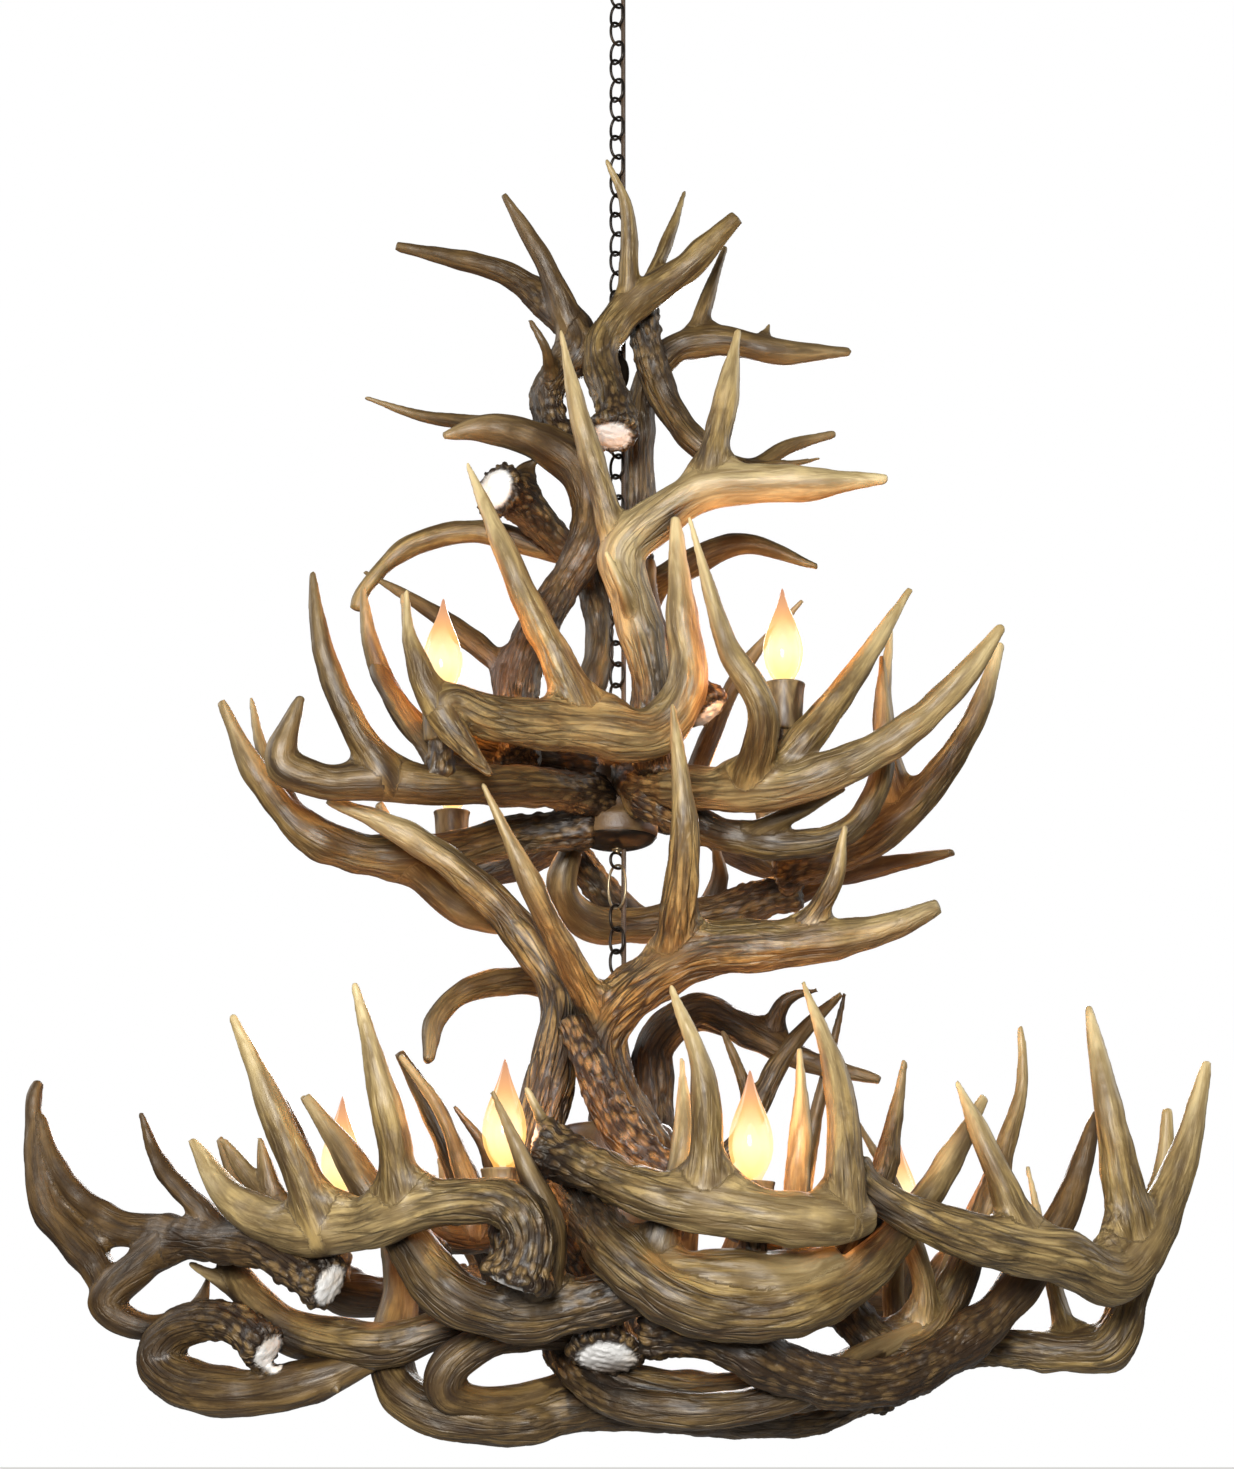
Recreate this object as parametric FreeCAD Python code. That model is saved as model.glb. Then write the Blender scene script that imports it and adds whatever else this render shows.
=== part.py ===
import FreeCAD, Part
import math
import os

# Antler chandelier in two rigid sections hung on chain from a ceiling canopy.
# Millimetres, +Z up, +Y away from the viewer. The origin is the centre of the canopy's ceiling face.

# ---- Canopy and its loop -------------------------------------------------------------
CANOPY_RADIUS = 64.0
CANOPY_RIM = 7.0            # straight edge below the ceiling
CANOPY_HEIGHT = 25.0
CANOPY_WAIST = 40.0         # radius where the dome turns to its crown
CANOPY_CROWN = 14.0         # radius of the flat bottom
CANOPY_FACETS = 12
LOOP_NECK = 3.0             # plain shank between a body and its loop
LOOP_HALF_HEIGHT = 7.0
LOOP_HALF_WIDTH = 8.0

# ---- Chain ---------------------------------------------------------------------------
WIRE = 2.8                  # link wire, measured across its flats
WIRE_SIDES = 4
LINK_HALF_HEIGHT = 11.4     # centre of the wire, crown to crown is twice this
LINK_HALF_WIDTH = 8.4
LINK_CROWN = 0.6            # flat crown of a link, as a share of its width
LINKS_ABOVE_COUPLER = 20
LINKS_BELOW_COUPLER = 16
LINKS_LOWER = 3
COUPLER_HALF_HEIGHT = 23.0
COUPLER_EGG_RADIUS = 12.0
COUPLER_EGG_HEIGHT = 36.0
DROP_WIRE = 2.4
DROP_HALF_HEIGHT = 19.6
DROP_HALF_WIDTH = 10.8
JOINT_GAP = 0.3             # play between two pieces that swing on each other
CHAIN_YAW = 45.0            # the links stand at this angle to the view, left and right in turn

# ---- Hubs ----------------------------------------------------------------------------
HUB_FACETS = 10
UPPER_HUB_RADIUS = 33.5
UPPER_HUB_BODY = 30.0
UPPER_HUB_HEIGHT = 96.0
UPPER_HUB_BOWL = 18.0       # height of the bowl below the rim
UPPER_HUB_RIM = 4.0
LOWER_HUB_RADIUS = 50.0
LOWER_HUB_HEIGHT = 165.0
LOWER_HUB_EDGE = 8.0
LOWER_ROD_RADIUS = 5.0
LOWER_ROD_LENGTH = 119.6

# ---- Lamps ---------------------------------------------------------------------------
LAMP_FACETS = 6
CUP_HEIGHT = 42.0
CUP_TOP_RADIUS = 18.0
CUP_BOTTOM_RADIUS = 14.5
CUP_WALL = 2.5
CUP_FLOOR = 6.0
HOLDER_RADIUS = 10.5
HOLDER_TOP = 4.0            # the holder ends this far under the cup's lip
SHELL_RADIUS = 6.2          # screw shell of the bulb
SHELL_LENGTH = 22.0
BULB_FIT = 0.3
GLASS_NECK = 7.5
GLASS_RADIUS = 17.2
GLASS_HEIGHT = 85.0
NIPPLE_RADIUS = 4.5
NIPPLE_BITE = 12.0          # how deep a lamp's nipple is let into its antler

# ---- Lamp cord -----------------------------------------------------------------------
CORD_RADIUS = 2.2
CORD_FACETS = 8
CORD_OFFSET = 6.0           # the cord lies in the valley between the turned links
CORD_PLAY = 2.4             # room round the cord in the mouths it passes
CORD_SETBACK = 4.4          # the straight cord starts this far below the hinge its chain swings on

# ---- Antlers -------------------------------------------------------------------------
BEAM_SIDES = 6
TINE_SIDES = 5
SECTION_PITCH = 78.0        # distance between the sections of a beam
TINE_PITCH = 100.0
ROUND_GAIN = 1.06           # a flat-sided section is drawn this much larger than the round one
BURR_FLARE = 1.28           # the burr is this much wider than the beam above it
BURR_THICKNESS = 9.0
CONTACT_MARGIN = 3.0        # antlers nearer than this are fitted to each other
ANTLER_UNIT = 1.0           # millimetres for one unit in the tables of antlers and lamps
OVERLAP = 1.0               # how far two forms of one piece run into each other before they are joined

UP = FreeCAD.Vector(0, 0, 1)


def vec(x, y, z):
    return FreeCAD.Vector(x, y, z)


def solid_from(faces):
    """A closed solid with outward faces."""
    solid = Part.Solid(Part.Shell(faces))
    if solid.Volume < 0:
        solid.reverse()
    return solid


def face_through(points):
    return Part.Face(Part.makePolygon(points + points[:1]))


def join_rings(rings):
    """A solid through rings of corners: triangles between rings, a flat face at each end."""
    faces = [face_through(rings[0])]
    for low, high in zip(rings, rings[1:]):
        for i in range(len(low)):
            j = (i + 1) % len(low)
            faces.append(face_through([low[i], low[j], high[j]]))
            faces.append(face_through([low[i], high[j], high[i]]))
    faces.append(face_through(rings[-1]))
    return solid_from(faces)


def turned(profile, facets, centre=(0.0, 0.0)):
    """A solid turned about the vertical: profile is a list of (radius, height), bottom to top."""
    rings = []
    for radius, height in profile:
        wide = radius / math.cos(math.pi / facets)
        rings.append([
            vec(centre[0] + wide * math.cos(2 * math.pi * (i + 0.5) / facets),
                centre[1] + wide * math.sin(2 * math.pi * (i + 0.5) / facets), height)
            for i in range(facets)])
    faces = [face_through(rings[0])]
    for low, high in zip(rings, rings[1:]):
        for i in range(facets):
            j = (i + 1) % facets
            faces.append(face_through([low[i], low[j], high[j], high[i]]))
    faces.append(face_through(rings[-1]))
    return solid_from(faces)


def largest(shape):
    return max(shape.Solids, key=lambda solid: solid.Volume)


# ---- Chain links and loops -----------------------------------------------------------
def ring_of_wire(half_width, half_height, wire, centre_z, yaw):
    """An oval of flat-sided wire standing upright, flat where the next link bears on it."""
    crown = LINK_CROWN * half_width
    path = [(-crown, half_height), (crown, half_height), (half_width, 0),
            (crown, -half_height), (-crown, -half_height), (-half_width, 0)]
    across = FreeCAD.Vector(math.cos(math.radians(yaw)), math.sin(math.radians(yaw)), 0)
    normal = across.cross(UP)
    corner = 0.5 * wire / math.cos(math.pi / WIRE_SIDES)
    rings = []
    for i, (x, z) in enumerate(path):
        before = path[i - 1]
        after = path[(i + 1) % len(path)]
        first = vec(x - before[0], 0, z - before[1]).normalize()
        second = vec(after[0] - x, 0, after[1] - z).normalize()
        mitre = vec(first.z + second.z, 0, -first.x - second.x).normalize()
        reach = 1 / (mitre.dot(vec(first.z, 0, -first.x)))
        middle = across * x + vec(0, 0, centre_z + z)
        ring = []
        for k in range(WIRE_SIDES):
            angle = 2 * math.pi * (k + 0.5) / WIRE_SIDES
            out = corner * math.cos(angle) * reach
            off = corner * math.sin(angle)
            ring.append(middle + (across * mitre.x + vec(0, 0, mitre.z)) * out + normal * off)
        rings.append(ring)
    faces = []
    for i, low in enumerate(rings):
        high = rings[(i + 1) % len(rings)]
        for k in range(WIRE_SIDES):
            m = (k + 1) % WIRE_SIDES
            faces.append(face_through([low[k], low[m], high[m], high[k]]))
    return solid_from(faces)


class Hanger:
    """Walks down the chain: knows the lowest wire so far and how the next piece hangs on it."""

    def __init__(self, wire, bottom, yaw):
        self.wire = wire
        self.bottom = bottom
        self.yaw = yaw

    def hang(self, half_width, half_height, wire, gap=0.0):
        """The next ring, resting on the wire above, turned a quarter."""
        top = self.bottom + (self.wire + wire) / 2 + gap
        self.yaw += 90
        self.wire = wire
        self.bottom = top - 2 * half_height
        return ring_of_wire(half_width, half_height, wire, top - half_height, self.yaw)


def vertical_cord(top, bottom, radius=CORD_RADIUS):
    return turned([(radius, bottom), (radius, top)], CORD_FACETS, (CORD_OFFSET, 0.0))


# ---- Antlers -------------------------------------------------------------------------
def smooth(points, pitch):
    """Sections (centre, radius) at even steps along the curve through the given points."""
    ends = [[2 * a - b for a, b in zip(points[0], points[1])]]
    tail = [[2 * a - b for a, b in zip(points[-1], points[-2])]]
    chain = ends + [list(p) for p in points] + tail
    fine = []
    for p0, p1, p2, p3 in zip(chain, chain[1:], chain[2:], chain[3:]):
        for step in range(8):
            t = step / 8
            fine.append([0.5 * (2 * b + (c - a) * t + (2 * a - 5 * b + 4 * c - d) * t * t
                                + (3 * b - a - 3 * c + d) * t ** 3)
                         for a, b, c, d in zip(p0, p1, p2, p3)])
    fine.append(list(points[-1]))
    run = [0.0]
    for a, b in zip(fine, fine[1:]):
        run.append(run[-1] + math.dist(a[:3], b[:3]))
    count = max(2, round(run[-1] / pitch))
    sections = []
    k = 0
    for i in range(count + 1):
        goal = run[-1] * i / count
        while k < len(run) - 2 and run[k + 1] < goal:
            k += 1
        t = (goal - run[k]) / (run[k + 1] - run[k])
        mix = [a + (b - a) * t for a, b in zip(fine[k], fine[k + 1])]
        sections.append((vec(*mix[:3]), mix[3]))
    return sections


def horn(sections, sides):
    """A tapering solid through round sections, without twist."""
    centres = [s[0] for s in sections]
    rings = []
    side = None
    for i, (centre, radius) in enumerate(sections):
        ahead = centres[min(i + 1, len(centres) - 1)]
        behind = centres[max(i - 1, 0)]
        along = (ahead - behind).normalize()
        if side is None:
            side = along.cross(UP if abs(along.z) < 0.8 else vec(0, 1, 0)).normalize()
        side = (side - along * side.dot(along)).normalize()
        other = along.cross(side)
        wide = ROUND_GAIN * radius
        rings.append([centre + side * (wide * math.cos(2 * math.pi * k / sides))
                      + other * (wide * math.sin(2 * math.pi * k / sides)) for k in range(sides)])
    return join_rings(rings)


def with_burr(sections):
    """The rough flared collar at the butt, in front of the first section."""
    (butt, radius), (nxt, _) = sections[0], sections[1]
    along = (nxt - butt).normalize()
    collar = [(butt, radius * 0.98), (butt + along * (0.35 * BURR_THICKNESS), radius * BURR_FLARE),
              (butt + along * BURR_THICKNESS, radius * BURR_FLARE * 0.97),
              (butt + along * (1.7 * BURR_THICKNESS), radius)]
    return collar + sections[1:]


class Antler:
    """One antler: a beam and its tines, each a list of (x, y, z, radius) from its section's datum."""

    def __init__(self, name, datum, beam, tines=(), burr=False):
        self.name = name
        unit = ANTLER_UNIT
        lifted = [[(x * unit, y * unit, z * unit + datum, r * unit) for x, y, z, r in line]
                  for line in [beam, *tines]]
        rows = [smooth(lifted[0], SECTION_PITCH)]
        rows += [smooth(line, TINE_PITCH) for line in lifted[1:]]
        self.balls = [ball for row in rows for ball in thick_line(row)]
        if burr:
            rows[0] = with_burr(rows[0])
        self.shape = horn(rows[0], BEAM_SIDES)
        if len(rows) > 1:
            self.shape = self.shape.multiFuse([horn(row, TINE_SIDES) for row in rows[1:]])
            self.shape = largest(self.shape)

    def near(self, other):
        """True where two antlers come within the contact margin."""
        for a, ra in self.balls:
            for b, rb in other.balls:
                if a.distanceToPoint(b) < ra + rb + CONTACT_MARGIN:
                    return True
        return False


def thick_line(sections):
    """Balls along a horn, close enough to feel for neighbours."""
    balls = []
    for (a, ra), (b, rb) in zip(sections, sections[1:]):
        for step in range(4):
            t = step / 4
            balls.append((a + (b - a) * t, (ra + (rb - ra) * t) * BURR_FLARE))
    return balls + [sections[-1]]


def fit_together(antlers, solids):
    """Each antler is cut to the hub, the nipples and the antlers before it, where they meet."""
    done = []
    for antler in antlers:
        tools = list(solids)
        tools += [other.shape for other in done if antler.near(other)]
        tools = [tool for tool in tools if tool.BoundBox.intersect(antler.shape.BoundBox)]
        if tools:
            antler.shape = largest(antler.shape.cut(tools))
        done.append(antler)
    return done


# ---- Lamps ---------------------------------------------------------------------------
def lamp_cup():
    """Cup, lampholder and nipple seat in one, its lip at height 0."""
    outer = turned([(CUP_BOTTOM_RADIUS, -CUP_HEIGHT), (CUP_TOP_RADIUS, 0)], LAMP_FACETS)
    hollow = turned([(CUP_BOTTOM_RADIUS - CUP_WALL, CUP_FLOOR - CUP_HEIGHT),
                     (CUP_TOP_RADIUS - CUP_WALL, OVERLAP)], LAMP_FACETS)
    holder = turned([(HOLDER_RADIUS, CUP_FLOOR - CUP_HEIGHT - OVERLAP), (HOLDER_RADIUS, -HOLDER_TOP)], LAMP_FACETS)
    bore = turned([(SHELL_RADIUS + BULB_FIT, -SHELL_LENGTH - HOLDER_TOP - BULB_FIT),
                   (SHELL_RADIUS + BULB_FIT, OVERLAP)], LAMP_FACETS)
    return largest(outer.cut(hollow).fuse(holder).cut(bore))


def bulb():
    """Flame-tip bulb: screw shell, neck, glass drawn out to a point. Its glass starts at height 0."""
    return turned([(SHELL_RADIUS, -SHELL_LENGTH - HOLDER_TOP), (SHELL_RADIUS, -HOLDER_TOP + BULB_FIT),
                   (GLASS_NECK, 0), (GLASS_RADIUS, 0.29 * GLASS_HEIGHT), (0.55 * GLASS_RADIUS, 0.65 * GLASS_HEIGHT),
                   (0.06 * GLASS_RADIUS, GLASS_HEIGHT)], LAMP_FACETS)


def lamps(spots, datum):
    """Cups with their nipples, and bulbs, at (x, y, glass height, height of the antler's back)."""
    cups = []
    bulbs = []
    for spot in spots:
        x, y, glass, seat = (ANTLER_UNIT * value for value in spot)
        cup_bottom = datum + glass - CUP_HEIGHT
        nipple = turned([(NIPPLE_RADIUS, datum + seat - NIPPLE_BITE), (NIPPLE_RADIUS, cup_bottom + OVERLAP)],
                        LAMP_FACETS, (x, y))
        cup = CUP.copy()
        cup.translate(vec(x, y, datum + glass))
        cups.append(largest(cup.fuse(nipple)))
        light = BULB.copy()
        light.translate(vec(x, y, datum + glass))
        bulbs.append(light)
    return cups, bulbs


def save(name, solids):
    """Writes one node, a single solid or a group of like solids."""
    shape = solids[0] if len(solids) == 1 else Part.makeCompound(solids)
    assert shape.isValid(), name
    shape.exportStep("parts/" + name + ".step")
    print(name, len(shape.Solids), "solids", len(shape.Faces), "faces", round(shape.Volume / 1000), "cm3")


os.makedirs("parts", exist_ok=True)

# ---- The antlers' lines ---------------------------------------------------------------
# Each row: name, butt (with a burr or plain), beam, tines. A point is (x, y, height above the
# bottom of the section's hub, radius), from the butt to the tip. A tine starts inside its beam.
BURR = True
PLAIN = False

UPPER_ANTLERS = [
    ("mid_front_right", PLAIN,
     [(10, -20, 60, 19), (60, -105, 30, 19), (130, -155, 20, 19), (175, -165, 30, 16),
      (235, -175, 60, 14), (285, -185, 103, 11), (322, -190, 151, 4)],
     [[(110, -145, 20, 16), (120, -205, 70, 13), (90, -210, 130, 9), (60, -210, 240, 2)],
      [(125, -155, 25, 15), (162, -160, 66, 15), (198, -157, 114, 11), (251, -147, 197, 3)],
      [(25, -50, 55, 9), (15, -40, 25, 6), (-5, -35, 70, 2)]]),
    ("mid_left", PLAIN,
     [(-10, -18, 45, 18), (-75, -100, 35, 18), (-140, -140, 25, 17), (-200, -155, 25, 16),
      (-245, -160, 25, 15), (-275, -165, 35, 14), (-255, -175, 95, 4)],
     [[(-190, -155, 25, 16), (-229, -168, 75, 14), (-254, -177, 137, 10), (-257, -180, 202, 3)],
      [(-135, -135, 25, 12), (-205, -95, 135, 8), (-225, -65, 210, 2)]]),
    ("mid_far_left", PLAIN,
     [(-20, -14, 18, 18), (-95, -10, 10, 18), (-155, -35, -10, 18), (-220, -55, -15, 19),
      (-275, -70, 5, 15), (-315, -85, 55, 11), (-345, -85, 115, 4)],
     [[(-275, -70, 10, 10), (-310, -50, 75, 7), (-325, -40, 130, 2)],
      [(-188, -45, -15, 17), (-150, -30, -48, 15), (-115, -15, -66, 12), (-82, 0, -72, 5)]]),
    ("mid_back_right", PLAIN,
     [(18, 12, 45, 17), (75, 105, 45, 16), (125, 175, 30, 14), (175, 200, 20, 13), (235, 190, 20, 11),
      (280, 170, 25, 7), (320, 150, 30, 4)],
     [[(55, 70, 45, 11), (115, 85, 185, 8), (175, 70, 255, 2)]]),
    ("mid_back_left", PLAIN,
     [(-10, 14, 42, 17), (-55, 65, 20, 17), (-105, 145, 15, 15), (-165, 200, 20, 13),
      (-210, 200, 45, 10), (-230, 180, 85, 5)],
     []),
    ("mid_right", BURR,
     [(145, 40, -10, 20), (195, 25, 0, 18), (240, 5, 20, 17), (281, -10, 58, 14), (320, -20, 117, 10),
      (345, -25, 185, 4)],
     [[(255, 0, 30, 14), (240, 0, 120, 10), (250, 5, 210, 2)]]),
    ("mid_under_hub", PLAIN,
     [(165, 55, -25, 18), (75, 80, -45, 17), (20, 75, -55, 17), (-25, 60, -55, 16), (-50, 40, -30, 14),
      (-40, 30, 10, 10)],
     []),
    ("mid_front_left", BURR,
     [(-110, -185, 30, 14), (-140, -190, 50, 15), (-135, -190, 80, 17), (-85, -165, 75, 20),
      (-25, -140, 75, 22), (30, -125, 75, 22), (60, -125, 115, 18), (55, -135, 180, 13),
      (50, -140, 265, 4)],
     [[(-125, -185, 80, 13), (-165, -210, 125, 9), (-175, -215, 170, 2)],
      [(-25, -140, 75, 17), (-85, -165, 200, 12), (-130, -150, 310, 2)]]),
    ("crown_front", PLAIN,
     [(35, -80, 50, 19), (30, -95, 130, 18), (15, -105, 195, 19), (5, -110, 240, 21),
      (40, -120, 275, 20), (85, -130, 295, 18), (160, -140, 295, 15), (235, -150, 295, 4)],
     [[(5, -110, 235, 15), (-30, -125, 350, 10), (-50, -135, 440, 2)],
      [(78, -130, 295, 15), (95, -135, 375, 11), (107, -135, 441, 3)],
      [(20, -100, 165, 7), (5, -130, 200, 5), (-10, -135, 235, 2)]]),
    ("crown_arcs", PLAIN,
     [(25, 30, 85, 17), (30, 55, 155, 17), (25, 65, 225, 16), (-10, 55, 285, 14), (-65, 40, 295, 12),
      (-130, 35, 310, 11), (-190, 30, 295, 10), (-230, 25, 255, 8), (-240, 25, 230, 7)],
     [[(15, 60, 255, 13), (110, 50, 302, 11), (188, 40, 277, 3)]]),
    ("crown_mid", BURR,
     [(-110, -40, 325, 21), (-85, -10, 320, 18), (-55, 15, 295, 14), (-25, 30, 260, 13),
      (-15, 25, 200, 13), (-25, 20, 145, 13), (-30, 20, 88, 13)],
     [[(-90, -15, 320, 8), (-90, -15, 350, 6), (-65, -20, 365, 2)]]),
    ("crown_left_s", PLAIN,
     [(-85, -80, 60, 20), (-90, -50, 120, 20), (-80, -45, 170, 19), (-50, -40, 230, 17),
      (-25, -40, 285, 17), (-32, -35, 342, 19), (-76, -27, 378, 18), (-120, -20, 391, 12),
      (-160, -30, 380, 4)],
     [[(-85, -25, 390, 8), (-175, 0, 410, 6), (-235, 0, 430, 2)],
      [(-85, -45, 145, 12), (-170, 10, 225, 8), (-235, 30, 270, 2)]]),
    ("crown_left", BURR,
     [(-52, -12, 378, 16), (-65, -10, 430, 15), (-32, -24, 472, 17), (-60, -10, 515, 16),
      (-100, -5, 550, 12), (-155, 0, 570, 9), (-210, 5, 585, 5)],
     [[(-35, -20, 470, 14), (-68, -38, 549, 10), (-106, -50, 612, 3)],
      [(-60, -15, 440, 7), (-65, -55, 455, 5), (-80, -65, 480, 2)]]),
    ("crown_right", BURR,
     [(-5, -70, 365, 19), (-5, -55, 405, 17), (-15, -35, 460, 16), (10, -30, 505, 15),
      (64, -32, 547, 14), (113, -45, 592, 9)],
     [[(10, -30, 500, 10), (10, -50, 590, 7), (-10, -65, 640, 2)],
      [(25, -30, 515, 8), (50, -10, 590, 6), (65, 10, 645, 2)]]),
    ("crown_back", BURR,
     [(15, 42, 265, 15), (20, 30, 340, 15), (20, 20, 395, 14), (25, 20, 445, 13), (50, 20, 485, 14),
      (95, 20, 495, 15), (155, 25, 486, 12), (222, 30, 488, 4)],
     [[(72, 20, 493, 9), (84, 22, 535, 7), (104, 30, 597, 3)],
      [(135, 25, 490, 6), (145, 25, 515, 2)]]),
    ("crown_right_s", PLAIN,
     [(22, -6, 530, 13), (30, -3, 475, 14), (48, -2, 420, 14), (80, -10, 375, 12), (120, 0, 360, 9),
      (160, 10, 385, 7), (205, 15, 400, 4)],
     [[(110, 0, 360, 6), (160, -25, 355, 4), (185, -40, 355, 2)]]),
]

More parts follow.
